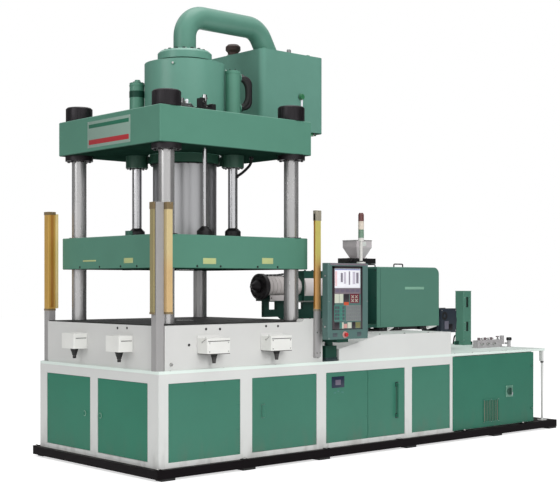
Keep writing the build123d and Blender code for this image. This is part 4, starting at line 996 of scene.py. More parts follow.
class DressTank(bpy.types.Operator):
    """Filler, level gauge, drain, hatch and lugs of the oil tank"""

    bl_idname = "machine.tank"
    bl_label = "Oil tank"

    def execute(self, context):
        self.filler()
        self.top()
        self.drain()
        self.gauge()
        self.rear_hatch()
        self.breather()
        return {"FINISHED"}

    def filler(self):
        piece = Piece("tank_filler", "oil_tank")
        x, z = 503, 341
        piece.drum((x, 0, z), FRONT, 26, 12, "valve steel", 2)
        cap = [(31, 0), (31, 6), (28, 8), (28, 22), (24, 26), (0, 27)]
        piece.turned((x, -12, z), FRONT, cap, "knob green")
        # The white block glows a little from its finish: painted glow.
        piece.block((x + 4, -10, z - 92), (x + 26, 0, z - 26), "screen white", 2)
        piece.block((x - 2, -5, z - 100), (x + 32, 0, z - 88), "bright steel", 1)
        piece.build("frame")

    def top(self):
        """The vent, the lifting lugs and the hatch on top."""
        piece = Piece("tank_top_fittings", "oil_tank")
        width, depth, top = piece.size
        piece.drum((529, 200, top), UP, 30, 10, "press paint", 2)
        piece.turned((529, 200, top + 10), UP, [(22, 0), (22, 60), (16, 72), (0, 76)], "valve steel")
        for x, y in product((120, width - 120), (110, depth - 110)):
            lug = [(x - 26, top), (x + 26, top), (x + 18, top + 34), (x - 18, top + 34)]
            piece.plate(lug, y - 6, y + 6, "y", "press paint", 2)
        piece.block((300, depth - 380, top), (width - 120, depth - 150, top + 6), "press paint", 2)
        across = (316, (width + 180) / 2, width - 136)
        piece.each(piece.hex_bolt, across, (depth - 364, depth - 166), top + 6, UP, 8)
        piece.build("frame")

    def drain(self):
        piece = Piece("tank_drain", "oil_tank")
        piece.block((670, 24, -27), (746, 92, 0), "knob green", 4)
        piece.hex_head((708, 24, -14), FRONT, 16, 12)
        for x in (130, 420, piece.size.x - 60):
            piece.block((x - 30, 300, -22), (x + 30, 380, 0), "press paint", 3)
        piece.build("frame")

    def gauge(self):
        piece = Piece("tank_gauge", "oil_tank")
        x, y = piece.size.x, 240
        piece.block((x, y - 22, 120), (x + 10, y + 22, 460), "valve steel", 3)
        piece.block((x + 10, y - 11, 150), (x + 15, y + 11, 430), "sight glass", 2)
        piece.each(piece.hex_bolt, x + 10, y, (134, 446), RIGHT, 9)
        piece.block((x, 490, 180), (x + 6, 710, 520), "press paint", 3)
        for side, z in round_edge((508, 600, 692), (196, 350, 504)):
            piece.hex_bolt((x + 6, side, z), RIGHT, 9)
        piece.build("frame")

    def rear_hatch(self):
        piece = Piece("tank_rear_hatch", "oil_tank")
        x, back, z = piece.size.x / 2, piece.size.y, 380
        lid = back + 14
        disc = [(0, 0), (200, 0), (200, 10), (192, 14), (0, 14)]
        piece.turned((x, back, z), BACK, disc, "press paint", 64)
        piece.around(piece.hex_bolt, (x, lid, z), 176, 12, 0.2, BACK, 9)
        grip = [(x - 60, lid, z), (x - 60, lid + 30, z), (x + 60, lid + 30, z), (x + 60, lid, z)]
        piece.tube(grip, 8, "bright steel")
        piece.build("frame")

    def breather(self):
        piece = Piece("breather_rim", "tank_breather")
        x, y, top = piece.size.x / 2, piece.size.y / 2, piece.size.z
        piece.ring((x, y, 0), UP, 54, 68, 8, "press paint", 2)
        piece.around(piece.cap_screw, (x, y, 8), 61, 6, 0, UP, 4, "bright steel")
        piece.ring((x, y, top - 44), UP, 74, 76.5, 5, "nut black")
        piece.build("frame")


class DressPlatens(bpy.types.Operator):
    """Bare labels, plugs and screws on the moving platen and the mould platens"""

    bl_idname = "machine.platens"
    bl_label = "Platens"

    def execute(self, context):
        self.thickness = context.scene.machine_sizes.label_thickness / millimetre
        piece = Piece("platen_labels", "moving_platen")
        self.nameplate(piece, (454, 0, 40), (598, 0, 91), FRONT)
        self.nameplate(piece, (1132, 0, 48), (1265, 0, 101), FRONT)
        self.nameplate(piece, (0, 407, 48), (0, 546, 93), LEFT)
        self.nameplate(piece, (0, 997, 70), (0, 1217, 83), LEFT)
        piece.build("platen")
        self.moving_platen()
        self.lower_platen()
        return {"FINISHED"}

    def nameplate(self, piece, low, high, way):
        """A bare plate on the front or left face, with a rivet at each corner."""
        low, high = Vector(low), Vector(high)
        shown = low + way * self.thickness
        piece.block(shown, high, "label plate", 0.6)
        across = 0 if way is FRONT else 1
        inset = min(7.0, (high.z - low.z) * 0.18)
        rivet = [(2.6, 0), (2.2, 0.9), (1.2, 1.4), (0, 1.5)]
        sides, heights = (low[across] + inset, high[across] - inset), (low.z + inset, high.z - inset)
        for side, height in product(sides, heights):
            place = shown.copy()
            place[across], place.z = side, height
            piece.turned(place, way, rivet, "bright steel", 10)

    def moving_platen(self):
        low, high = extent("moving_platen")
        piece = Piece("platen_plugs")
        piece.each(piece.plug, [low.x + x for x in (390, 650, 1080, 1320)], low.y, low.z + 20, FRONT, 10)
        piece.each(piece.plug, low.x, [low.y + y for y in (350, 600, 940, 1270)], low.z + 20, LEFT, 10)
        piece.block((554, 1250, high.z), (600, 1310, high.z + 72), "unit paint", 4)
        piece.block((548, 1240, high.z), (606, 1320, high.z + 8), "unit paint", 2)
        for place in column_places:
            piece.ring((*place, high.z), UP, 72, 96, 5, "nut black", 1.5, 40)
            piece.around(piece.cap_screw, (*place, high.z + 5), 85, 6, 0.4, UP, 5, "bright steel")
        piece.around(piece.cap_screw, (*press_middle, high.z), 326, 16, 0.15, UP, 12)
        piece.build("platen")
        piece = Piece("moving_platen_face")
        for x, y in product((low.x + 640, low.x + 1060), (low.y + 90, high.y - 420)):
            piece.block((x - 24, y, low.z - 3), (x + 24, y + 330, low.z), "platen steel", 1)
        piece.ring((*press_middle, low.z - 4), UP, 62.5, 84, 5, "bright steel", 1, 48)
        piece.build("platen")

    def lower_platen(self):
        top = extent("lower_platen")[1].z
        x, y = press_middle
        piece = Piece("lower_platen_face")
        piece.ring((x, y, top - 1), UP, 62.5, 84, 3, "bright steel", 1, 48)
        piece.around(piece.cap_screw, (x, y, top + 2), 74, 4, 0.78, UP, 5, "nut black", 3)
        # Painted shade: the holes are shallow, with black floors.
        hole = [(14, 0), (13, 1.2), (9, 1.2), (9, 0.2), (0, 0.2)]
        along = (x - 500, x - 200, x + 200, x + 500)
        across = (y - 620, y - 420, y + 420, y + 620)
        piece.each(piece.turned, along, across, top, UP, hole, "hole black", 20)
        for place in column_places:
            piece.ring((*place, top), UP, 72.5, 80, 3, "nut black", 1, 40)
        piece.build("frame")


class DressBlock(bpy.types.Operator):
    """Screws, plugs and connector hoods of the lower block"""

    bl_idname = "machine.lower_block"
    bl_label = "Lower block"

    def execute(self, context):
        low, high = extent("lower_block")
        ledge = high.z - 28
        piece = Piece("block_plugs")
        for x, drop in ((520, 36), (673, 40), (1201, 27), (1344, 30)):
            piece.plug((x, low.y, ledge - drop), FRONT, 11, 20)
        # Painted shade: a shallow hole with a black floor.
        hole = [(12, 0), (12, 1.5), (8, 1.5), (8, 0.4), (0, 0.4)]
        piece.turned((337, low.y, 1114), FRONT, hole, "hole black")
        for y, z in ((650, ledge - 32), (504, ledge - 28), (1430, 1171), (1299, 1175)):
            piece.plug((low.x, y, z), LEFT, 11, 20)
        for x, z in ((low.x + 120, 955), (high.x - 60, 955), (high.x - 60, ledge - 60)):
            piece.hex_bolt((x, low.y, z), FRONT, 14)
        piece.each(piece.hex_bolt, (low.x + 300, low.x + 900, high.x - 300), high.y, (970, 1200), BACK, 14)
        piece.build("frame")
        self.gasket(low, high, ledge)
        self.hoods()
        return {"FINISHED"}

    def gasket(self, low, high, ledge):
        """Dark gasket strip that shows between block and platen."""
        seat_low, seat_high = extent("lower_platen")
        left, front, back = seat_low.x, seat_low.y, seat_high.y
        top = ledge + 4
        piece = Piece("platen_gasket")
        piece.block((low.x + 60, front - 22, ledge), (high.x - 262, front, top), "black rubber", 1)
        piece.block((left - 8, front + 20, ledge), (left, back - 40, top), "black rubber", 1)
        piece.each(piece.cap_screw, (high.x - 220, high.x - 120, high.x - 30), low.y + 42, high.z, UP, 9)
        piece.build("frame")

    def hoods(self):
        """Gaskets, locking bars and cable boots of the connector boxes."""
        low, high = extent("connector_boxes")
        boot = [(38, 0), (38, 10), (33, 14), (33, 24), (29, 27), (29, 36), (25, 39), (25, 48), (21, 51),
                (21, 62), (16, 66), (16, 92), (0, 92)]
        z0, z1 = high.z - 137, high.z
        piece = Piece("connector_hoods")
        face = low.y
        for x0 in (426, 1140):
            x1 = x0 + 250
            hinge = face + 70
            piece.block((x0 + 8, face - 1, z1 - 46), (x1 - 8, face + 6, z1 - 40), "black rubber", 1)
            piece.each(piece.pan_screw, (x0 + 22, x1 - 22), face, (z0 + 4, z1 - 58), FRONT, 6.5)
            for x, way in ((x0, LEFT), (x1, RIGHT)):
                piece.drum((x, hinge, z1 - 52), way, 8, 5, "bright steel", 1)
            bar = [(x0 - 5, hinge, z1 - 52), (x0 - 5, face + 26, z1 - 30), (x0 - 5, face + 26, z1 - 4)]
            piece.hose(bar, 10, 3, "bright steel", 8)
            piece.block((x0 - 3, face + 134, z0 - 6), (x1 + 3, face + 142, z1 + 6), "connector grey", 2)
            piece.turned((x0 + 125, face + 71, z0 + 2), DOWN, boot, "black rubber", 32)
        face = low.x
        for y0 in (415, 1134):
            y1 = y0 + 210
            piece.block((face + 20, y0 - 1, z1 - 46), (face + 130, y1 + 1, z1 - 40), "black rubber", 0.5)
            piece.block((face + 134, y0 - 3, z0 - 6), (face + 142, y1 + 3, z1 + 6), "connector grey", 2)
            piece.turned((face + 71, y0 + 105, z0 + 2), DOWN, boot, "black rubber", 32)
        piece.build("frame")


class DressGuards(bpy.types.Operator):
    """Lens strips, end caps and brackets of the light curtains"""

    bl_idname = "machine.guards"
    bl_label = "Light curtains"

    def execute(self, context):
        low, high = extent("light_curtains")
        z0, z1 = low.z, high.z
        bars = [(38, 118, 1830, 1910, "front", 30, "cap brown"), (-16, 0, 45, 108, None, 60, "cap brown"),
                (80, 141, -10, 50, "right", 60, "cap brown"), (1781, 1851, -6, 30, "left", 96, "cap grey")]
        for number, (x0, x1, y0, y1, lens_side, cap, cap_finish) in enumerate(bars, 1):
            piece = Piece(f"curtain_lens_{number}")
            if lens_side == "front":
                piece.block((x0 + 24, y0 - 1, z0 + 30), (x1 - 24, y0, z1 - 30), "lens amber", 0.3)
                piece.block((x1, y0 + 4, z0 + 20), (x1 + 32, y0 + 32, z1 - 20), "lens pale", 3)
            elif lens_side == "right":
                piece.block((x1, y0 + 16, z0 + 30), (x1 + 1, y1 - 16, z1 - 30), "lens amber", 0.3)
            elif lens_side == "left":
                piece.block((x0 - 1, y0 + 8, z0 + 30), (x0, y1 - 8, z1 - 30), "lens amber", 0.3)
            for z, top in ((z0, z0 + 18), (z1 - cap, z1)):
                piece.block((x0 - 1, y0 - 1, z), (x1 + 1, y1 + 1, top), cap_finish, 2)
            head = [(4, 0), (4, 3), (0, 3.6)]
            heights = (z1 - 9, z0 + 9)
            piece.each(piece.turned, (x0 + x1) / 2, y0 - 1, heights, FRONT, head, "bright steel", 12)
            if number in (1, 4):
                bracket = (y0 + y1) / 2 - 4
                for z in (z0 + 140, z1 - 140):
                    piece.block((x0 + 6, bracket, z), (x1 + 3, y1 + 3, z + 34), "bright steel")
            piece.build("frame")
        self.feet()
        return {"FINISHED"}

    def feet(self):
        piece = Piece("curtain_foot_bolts")
        for x in (38, 118):
            piece.block((x - 14, 1816, 905), (x + 14, 1830, 917), "post grey", 2)
            piece.hex_bolt((x, 1822, 917), UP, 6)
        piece.block((1781, 14, 947), (1851, 30, 960), "post grey", 2)
        piece.each(piece.hex_bolt, (1796, 1836), -6, (990, 1180), FRONT, 7)
        piece.build("frame")


class DressDesk(bpy.types.Operator):
    """Screen, keys and rims of the control panel and its arm"""

    bl_idname = "machine.desk"
    bl_label = "Control panel"

    def execute(self, context):
        piece = Piece("desk_bezel", "control_panel")
        width, height = piece.size.x, piece.size.z
        x0, x1, z0, z1 = 51, width - 81, 89, height - 29
        bars = [(x0, x0 + 30, z0, z1), (x1 - 23, x1, z0, z1), (x0, x1, z1 - 21, z1), (x0, x1, z0, z0 + 7),
                (x0 + 30, x1 - 23, z0 + 328, z0 + 344)]
        for left, right, bottom, top in bars:
            piece.block((left, -1.5, bottom), (right, 0, top), "bezel black", 0.5)
        piece.build("panel")
        self.screen(x0 + 32, x1 - 25, z1 - 203, z1 - 23)
        self.keys(x0, z0)
        self.rims()
        self.tower_and_arm()
        return {"FINISHED"}

    def screen(self, left, right, bottom, top):
        """The lit screen and its plain fields, each by its share of the width and height."""
        piece = Piece("desk_screen", "control_panel")
        glass, shown = 5.5, 4
        piece.block((left, shown, bottom), (right, glass, top), "screen white", 0.3)
        width, height = right - left, top - bottom
        fields = [(0.24, 0.32, 0.30, 0.78, "screen grey"), (0.36, 0.44, 0.22, 0.82, "screen mist"),
                  (0.55, 0.60, 0.16, 0.86, "screen grey"), (0.70, 0.80, 0.20, 0.84, "screen mist"),
                  (0.84, 0.93, 0.24, 0.80, "screen grey"), (0.02, 0.98, 0.93, 0.98, "screen blue"),
                  (0.02, 0.10, 0.10, 0.86, "screen blush")]
        for start, end, foot, head, finish in fields:
            piece.block((left + width * start, shown - 0.6, bottom + height * foot),
                        (left + width * end, shown, bottom + height * head), finish, 0.2)
        piece.build("panel")

    def keys(self, x0, z0):
        """Fields of the membrane by left, right, bottom and top, then the keys on them."""
        piece = Piece("desk_keys", "control_panel")
        fields = [
            (30, 370, 332, 386, "desk mauve"), (30, 88, 248, 332, "key cream"),
            (92, 142, 248, 332, "key cream"), (146, 218, 256, 332, "key ink"),
            (150, 214, 226, 256, "key orange"), (230, 352, 246, 332, "key crimson"),
            (24, 166, 82, 228, "key teal"), (178, 374, 78, 226, "desk grey"),
            (26, 92, 8, 70, "key ink"), (98, 126, 12, 66, "key teal"), (126, 148, 10, 68, "key cream"),
            (198, 250, 12, 66, "key cream"), (258, 300, 8, 70, "key ink"), (304, 368, 12, 66, "key olive"),
        ]
        for left, right, bottom, top, finish in fields:
            piece.block((x0 + left, -1.6, z0 + bottom), (x0 + right, 0, z0 + top), finish, 0.6)
        shown, seat = -3.2, -1.4
        for row in range(4):
            z = z0 + 88 + row * 34
            piece.row(6, (31, 0, 0), (x0 + 186, shown, z), (x0 + 210, seat, z + 25), "key grey", 1.2)
            for column, tone in enumerate(("key slate", "key slate", "key teal", "key slate")):
                x = x0 + 32 + column * 33
                piece.block((x, shown, z + 2), (x + 26, seat, z + 28), tone, 1.2)
        for x, z in product((x0 + 244, x0 + 294), (z0 + 256, z0 + 292)):
            for start, end in ((z, z + 26), (z + 26, z)):
                stroke = [(x, start), (x + 8, start), (x + 40, end), (x + 32, end)]
                piece.plate(stroke, -2.6, seat, "y", "key cream")
        piece.row(5, (66, 0, 0), (x0 + 40, -3, z0 + 346), (x0 + 90, seat, z0 + 374), "desk violet", 1.2)
        piece.build("panel")

    def rims(self):
        """Screws and small parts on the rim, and the cover on the back with its vents."""
        piece = Piece("desk_rims", "control_panel")
        width, back, height = piece.size
        face = 3
        piece.each(piece.pan_screw, (12, width - 12), face, (12, height / 2, height - 12), FRONT, 4.5)
        stop = middle_of("emergency_stop") - piece.low
        collar = [(10, 0), (31, 0), (31, 2), (27, 4), (10, 4)]
        piece.turned((stop.x, face, stop.z), FRONT, collar, "key pink", 32)
        piece.block((60, face - 2, 24), (120, face, 60), "key slate", 1)
        piece.block((width - 150, face - 2, 22), (width - 96, face, 62), "key slate", 1)
        piece.each(piece.drum, 0, 43, (120, height - 120), LEFT, 9, 4, "bright steel", 1)
        piece.block((30, face - 1.5, height - 20), (width - 20, face, height - 3), "desk mauve", 0.6)
        for z in (80, 330, height - 110):
            piece.block((width, 50, z), (width + 6, 78, z + 60), "desk paint", 2)
        piece.block((60, back, 60), (width - 60, back + 3, height - 60), "desk paint")
        # Painted shade: black vent slots.
        piece.row(9, (0, 0, 18), (120, back + 3, 120), (width - 120, back + 5, 127), "hole black", 0.5)
        piece.each(piece.pan_screw, (80, width - 80), back + 3, (80, height - 80), BACK, 5)
        piece.build("panel")

    def tower_and_arm(self):
        piece = Piece("tower_foot", "signal_tower")
        x, y = piece.size.x / 2, piece.size.y / 2
        piece.around(piece.cap_screw, (x, y, 14), 33, 3, 0.5, UP, 3.5, "bright steel")
        piece.ring((x, y, 14), UP, 14.8, 21, 10, "black plastic", 2, 24)
        piece.build("panel")
        low, high = extent("panel_arm")
        post = middle_of("panel_post")
        piece = Piece("arm_clamp")
        piece.ring((post.x, post.y, high.z), UP, 31, 44, 4, "nut black", 1.5, 32)
        piece.each(piece.hex_bolt, (low.x + 18, high.x - 18), high.y - 20, high.z, UP, 7)
        piece.build("panel")
        piece = Piece("post_foot", "panel_post")
        width, depth = piece.size.xy
        for x in (-26, width):
            piece.block((x, 8, 0), (x + 26, depth - 8, 12), "slate dark", 2)
            piece.hex_bolt((x + 13, depth / 2, 12), UP, 7)
        piece.block((-1.5, -1.5, 0), (width + 1.5, depth + 1.5, 36), "slate dark", 2)
        piece.build("frame")


class DressDoors(bpy.types.Operator):
    """Hinge leaves, lock plates, cover screws and small plates of doors and covers"""

    bl_idname = "machine.doors"
    bl_label = "Doors and covers"

    def execute(self, context):
        self.covers(context.scene.machine_sizes.panel_screw / millimetre)
        self.front_doors()
        self.end_doors()
        return {"FINISHED"}

    def front_doors(self):
        piece = Piece("door_1_fittings", "front_door_left")
        width, depth, height = piece.size
        leaves = (60, height - 118)
        front = depth - 20
        shown = front - 1.5
        for z in leaves:
            piece.block((width - 18, shown, z), (width - 4, front, z + 58), "panel paint", 0.6)
            piece.each(piece.pan_screw, width - 11, shown, (z + 12, z + 46), FRONT, 3.6, "panel paint")
        piece.block((104, front - 2, 293), (152, front, 421), "unit paint", 1)
        piece.build("door_1")
        piece = Piece("door_2_fittings", "front_door_right")
        width, depth, height = piece.size
        front = depth - 20
        for z, top in ((162, 209), (473, 519)):
            piece.block((width - 132, front - 2, z), (width - 92, front, top), "slate dark", 1)
        for z in leaves:
            piece.block((4, front - 1.5, z), (18, front, z + 58), "panel paint", 0.6)
        piece.build("door_2")

    def end_doors(self):
        for number, node in ((3, "end_door_front"), (4, "end_door_rear")):
            piece = Piece(f"door_{number}_fittings", node)
            width, depth, height = piece.size
            front = width - 20
            hinge, lock = (depth - 18, 88) if node == "end_door_rear" else (4, depth - 40)
            for z in (60, height - 118):
                piece.block((front - 1.5, hinge, z), (front, hinge + 14, z + 58), "end door paint", 0.6)
            piece.ring((front - 3, lock, height / 2), LEFT, 19.5, 25, 4, "unit strip")
            piece.build(f"door_{number}")

    def covers(self, radius):
        low, high = extent("cover_panels")
        piece = Piece("cover_screws")
        rims = (low.z + 18, high.z - 18)
        front, back = low.y, high.y
        for x0, x1 in ((102, 876), (1921, 2478), (3112, 3693)):
            across = (x0 + 16, (x0 + x1) / 2, x1 - 16)
            piece.each(piece.pan_screw, across, front, rims, FRONT, radius, "panel paint")
            piece.each(piece.pan_screw, across[::2], front, (360, 580), FRONT, radius, "panel paint")
        for x0, x1 in ((102, 876), (1015, 1796), (1921, 3003), (3112, 3693)):
            middle = (x0 + x1) / 2
            piece.each(piece.pan_screw, (x0 + 16, middle, x1 - 16), back, rims, BACK, radius, "nut black")
            left, right = middle - 150, middle + 150
            # Painted shade: black vent slots.
            piece.row(7, (0, 0, 26), (left, back, 230), (right, back + 2, 239), "hole black", 0.8)
        piece.block((1995, front - 3, 652), (2160, front, 758), "slate plate", 1)
        piece.block((2042, front - 4, 678), (2112, front - 3, 726), "desk violet", 0.4)
        for x, z in ((2020, 600), (2064, 612), (2120, 598)):
            piece.block((x, front - 2, z), (x + 30, front, z + 18), "key teal", 1)
        piece.build("frame")


class DressCabinet(bpy.types.Operator):
    """Screws, fan plate and switch plate of the electric cabinet, with wires inside"""

    bl_idname = "machine.cabinet"
    bl_label = "Electric cabinet"

    def execute(self, context):
        self.door()
        self.filter()
        self.inside()
        return {"FINISHED"}

    def door(self):
        piece = Piece("cabinet_door_fittings", "cabinet_door")
        width, depth, height = piece.size
        face = depth - 25
        switch = middle_of("main_switch") - piece.low
        x, z = switch.x, switch.z
        seat, shown = face - 3, face - 4.5
        piece.block((x - 63, shown, z - 63), (x + 63, seat, z + 63), "pale plate", 0.8)
        piece.each(piece.pan_screw, (x - 52, x + 52), shown, (z - 52, z + 52), FRONT, 7, "unit strip")
        # The small window glows a little from its finish: painted glow.
        piece.block((x + 34, shown - 0.9, z - 44), (x + 60, shown, z - 14), "screen mist", 0.3)
        for turn in range(0, 360, 30):
            left = x + 45 * math.cos(math.radians(turn)) - 2
            bottom = z + 45 * math.sin(math.radians(turn)) - 2
            tick = (left + 4, seat - 1.4, bottom + 4)
            piece.block((left, seat - 2.2, bottom), tick, "nut black", 0.2)
        piece.each(piece.pan_screw, (502, 628.5, 755), face - 8, (52, 287), FRONT, 4)
        for leaf in (70, height - 130):
            piece.block((4, face - 1.5, leaf), (18, face, leaf + 60), "cabinet paint", 0.6)
        lock = [(16, 0), (16, 4), (13, 6), (9, 6), (9, 2), (0, 2)]
        for z in (150, height - 150):
            piece.turned((width - 34, face, z), FRONT, lock, "cabinet paint", 32)
            piece.block((width - 36, face - 6, z - 7), (width - 32, face - 1, z + 7), "bright steel", 0.5)
        piece.build("door_5")

    def filter(self):
        """Slats and mat behind the grille of the cabinet's fan."""
        piece = Piece("grille_filter", "cabinet_door")
        face = piece.size.y - 25
        piece.row(12, (0, 0, 18), (506, face + 4, 62), (751, face + 7, 74), "filter pale", 0.6)
        piece.block((500, face + 8, 52), (757, face + 12, 287), "key pink", 1)
        piece.build("door_5")

    def inside(self):
        """Vents, displays and wires of the drives and relays, and the slots of the wire ducts."""
        piece = Piece("cabinet_wiring", "mounting_plate")
        width, depth, height = piece.size
        colours = ("wire blue", "wire red", "wire black", "wire yellow")
        for index in range(3):
            x = 56 + index * width / 5
            # Painted shade: black vent slots.
            piece.row(10, (0, 0, 11), (x + 14, -1, 380), (x + 96, 0, 385), "hole black", 0.4)
            piece.block((x + 20, -3, 545), (x + 150, 0, 600), "bezel black")
            piece.block((x + 30, -4, 556), (x + 90, -2, 590), "screen mist", 0.6)
            for wire, colour in enumerate(colours):
                start = x + 30 + wire * 30
                path = [(start, 60, 331), (start, 60, 318 - wire * 2), (start + 6, 90, 316)]
                piece.hose(path, 6, 4, colour, 8)
        front = depth - 91
        for index in range(9):
            x = 72 + index * (width - 144) / 9
            piece.block((x + 10, front - 3, 170), (x + 62, front, 215), "bezel black")
            for wire, colour in enumerate(colours[:3]):
                start = x + 18 + wire * 18
                path = [(start, front + 20, 236), (start, front + 8, 250), (start, front + 30, 268)]
                piece.hose(path, 8, 3, colour, 8)
                piece.pan_screw((start, front, 228), FRONT, 4)
        for z in (66, 276):
            slot = (84, depth - 65.5, z + 38)
            piece.row(28, (39, 0, 0), (60, depth - 67, z), slot, "connector grey", 0.4)
        piece.build("frame")


class DressInjection(bpy.types.Operator):
    """Heater bands, screws, feet, label and motor box of the injection unit"""

    bl_idname = "machine.injection"
    bl_label = "Injection unit"

    def execute(self, context):
        self.barrel(context.scene.machine_sizes.heater_bands)
        self.cover()
        self.end_plate()
        self.feet()
        self.motor()
        self.hopper()
        self.rails()
        return {"FINISHED"}

    def barrel(self, bands):
        piece = Piece("heater_bands", "injection_barrel")
        y, z = piece.size.y / 2, piece.size.z / 2
        pitch = 250 / bands
        for index in range(bands):
            x = 8 + index * pitch
            piece.ring((x, y, z), RIGHT, 99.5, 104.5, pitch - 4, "band steel", 0.8, 64)
            piece.block((x + 8, y - 17, z + 102), (x + pitch - 17, y + 17, z + 122), "bright steel", 2.5)
            piece.drum((x + 20, y - 24, z + 112), BACK, 5, 48, "nut black", 1, 16)
        piece.ring((245, y, z), RIGHT, 105, 112, 92, "nozzle black", 2, 64)
        lead = [(30, y, z + 114), (190, y, z + 117), (330, y, z + 132), (454, y, z + 140)]
        piece.hose(lead, 30, 9)
        piece.build("injection_unit")
        piece = Piece("barrel_jacket", "injection_barrel")
        piece.drum((446, y, z - 5), RIGHT, 158, 258, "barrel steel", 5, 72)
        piece.block((4, y - 109, z - 142), (240, y - 105, z - 86), "barrel steel")
        piece.each(piece.cap_screw, (18, 226), y - 109, z - 114, FRONT, 6)
        lid = extent("injection_carriage")[0].z + 591 - piece.low.z
        piece.each(piece.cap_screw, (470, 575, 680), y, lid, UP, 10)
        piece.build("injection_unit")
        piece = Piece("nozzle_screws", "injection_barrel")
        piece.around(piece.cap_screw, (-60, y, z), 104, 10, 0.2, LEFT, 10, "nozzle black")
        piece.ring((-64, y, z), RIGHT, 60, 74, 6, "nozzle black", 1.5, 40)
        tip = extent("nozzle_head")[0].x + 1 - piece.low.x
        piece.turned((tip, y, z), LEFT, [(12, 0), (12, 1), (5, 1), (5, -6), (0, -6)])
        piece.build("injection_unit")

    def cover(self):
        piece = Piece("cover_fittings", "unit_cover")
        width, depth, height = piece.size
        piece.block((433, -1.6, 398), (738, 0, 426), "unit strip", 0.6)
        for y, way in ((0, FRONT), (depth, BACK)):
            piece.each(piece.pan_screw, (28, 340, 655, width - 28), y, 26, way, 7, "unit paint")
            piece.each(piece.pan_screw, 28, y, (230, 430, height - 60), way, 7, "unit paint")
        for y in (-1.2, depth):
            piece.block((52, y, 8), (54.5, y + 1.2, height - 16), "carriage paint", 0.3)
        for y in (150, depth - 150):
            grip = [(420, y, height), (420, y, height + 34), (560, y, height + 34), (560, y, height)]
            piece.hose(grip, 16, 7, "nut black")
        piece.row(9, (0, 0, 22), (width, 250, 330), (width + 3, depth - 250, 339), "carriage paint", 1)
        piece.build("injection_unit")

    def end_plate(self):
        """Painted shade on the cover's left end: a dark plate round the barrel."""
        piece = Piece("cover_end_plate", "unit_cover")
        depth, height = piece.size.yz
        y0, y1, z0, z1 = 6, depth - 6, 40, height - 18
        inner = 112
        left, right = depth / 2 - inner, depth / 2 + inner
        middle = 431
        panes = [(y0, left, z0, z1), (right, y1, z0, z1), (left, right, middle + inner, z1),
                 (left, right, z0, middle - inner)]
        for start, end, bottom, top in panes:
            piece.block((-2.5, start, bottom), (0, end, top), "carriage paint", 0.5)
        heights = (66, (z1 + 6) / 2, z1 - 20)
        piece.each(piece.pan_screw, -2.5, (y0 + 16, y1 - 16), heights, LEFT, 6, "nut black")
        piece.build("injection_unit")

    def feet(self):
        piece = Piece("carriage_feet", "unit_cover")
        foot = extent("injection_bed")[1].z + 1.5 - piece.low.z
        for x0, x1 in ((40, 149), (276, 380), (690, 782)):
            piece.block((x0, 6, foot), (x1, 92, 0), "black plastic", 3)
            piece.block((x0 - 8, 2, foot), (x1 + 8, 40, foot + 11), "black plastic", 2)
            piece.cap_screw(((x0 + x1) / 2, 2, foot + 22), FRONT, 6, "bright steel")
        piece.build("injection_unit")
        piece = Piece("carriage_brackets", "unit_cover")
        for x0, x1 in ((168, 270), (790, 960)):
            outline = [(x0, foot), (x0 + 26, foot), (x1, -8), (x1, 0), (x0, 0)]
            for y in (8, piece.size.y - 16):
                piece.plate(outline, y, y + 8, "y", "frame paint", 1)
            piece.hex_bolt((x0 + 20, 8, -14), FRONT, 6)
        piece.build("injection_unit")

    def motor(self):
        piece = Piece("motor_fittings", "drive_motor")
        width = piece.size.x
        y, z = piece.size.y / 2, piece.size.z / 2
        piece.block((0, y - 118, z - 118), (22, y + 118, z + 118), "motor dark", 6)
        piece.each(piece.cap_screw, 22, (y - 98, y + 98), (z - 98, z + 98), RIGHT, 9, "bright steel")
        piece.block((26, 0, z - 134), (width - 30, 76, z + 134), "motor dark", 9)
        piece.block((34, -4, z - 126), (width - 38, 0, z + 126), "motor dark", 2)
        piece.ring((88, -4, z + 54), FRONT, 22, 46, 6, "hole black", 1.5, 40)
        piece.drum((88, -4, z + 54), FRONT, 20, 3, "motor dark", 1)
        piece.block((84, -12, z - 96), (150, -4, z - 6), "motor mauve", 2)
        piece.block((160, -9, z - 106), (222, -4, z - 40), "nut black", 2)
        piece.each(piece.pan_screw, (46, width - 50), -4, (z - 114, z + 114), FRONT, 6)
        gland = [(17, 0, 6), (17, 12, 6), (13, 15), (13, 24), (0, 24)]
        piece.turned((60, 30, z - 130), DOWN, gland, "nut black")
        lead = [(60, 30, z - 148), (60, 30, z - 168), (60, 120, z - 168), (14, 150, z - 100)]
        piece.hose(lead, 18, 9)
        guard_wires = 7
        for index in range(guard_wires):
            inner = 14 + index * 14
            piece.ring((width - 1.5, y, z), RIGHT, inner, inner + 7, 3, "nut black", 0.8, 40)
        middle = Vector((width + 1, y, z))
        for angle in (0, math.pi / 3, 2 * math.pi / 3):
            reach = Vector((0, math.cos(angle), math.sin(angle))) * 106
            piece.tube([middle - reach, middle + reach], 2.4, "nut black", 8)
        piece.ring((width - 54, y, z), RIGHT, 116, 128, 8, "nut black", 1.5, 56)
        piece.build("injection_unit")

    def hopper(self):
        piece = Piece("hopper_fittings", "feed_hopper")
        x, y, top = 214, piece.size.y / 2, piece.size.z
        piece.each(piece.hex_bolt, (x - 72, x + 72), (y - 62, y + 62), 57, UP, 8)
        piece.drum((44, y - 78, 28), FRONT, 14, 20, "bright steel", 2)
        piece.drum((44, y - 98, 28), FRONT, 22, 9, "nut black", 2)
        rim, lip = top - 10, top - 2
        for side in (y - 109, y + 105):
            piece.block((x - 118, side, rim), (x + 118, side + 4, lip), "bright steel")
        for side in (x - 119, x + 115):
            piece.block((side, y - 108, rim), (side + 4, y + 108, lip), "bright steel")
        piece.block((x - 30, y - 106.5, top - 66), (x + 30, y - 104.5, top - 20), "sight glass", 1)
        piece.build("injection_unit")

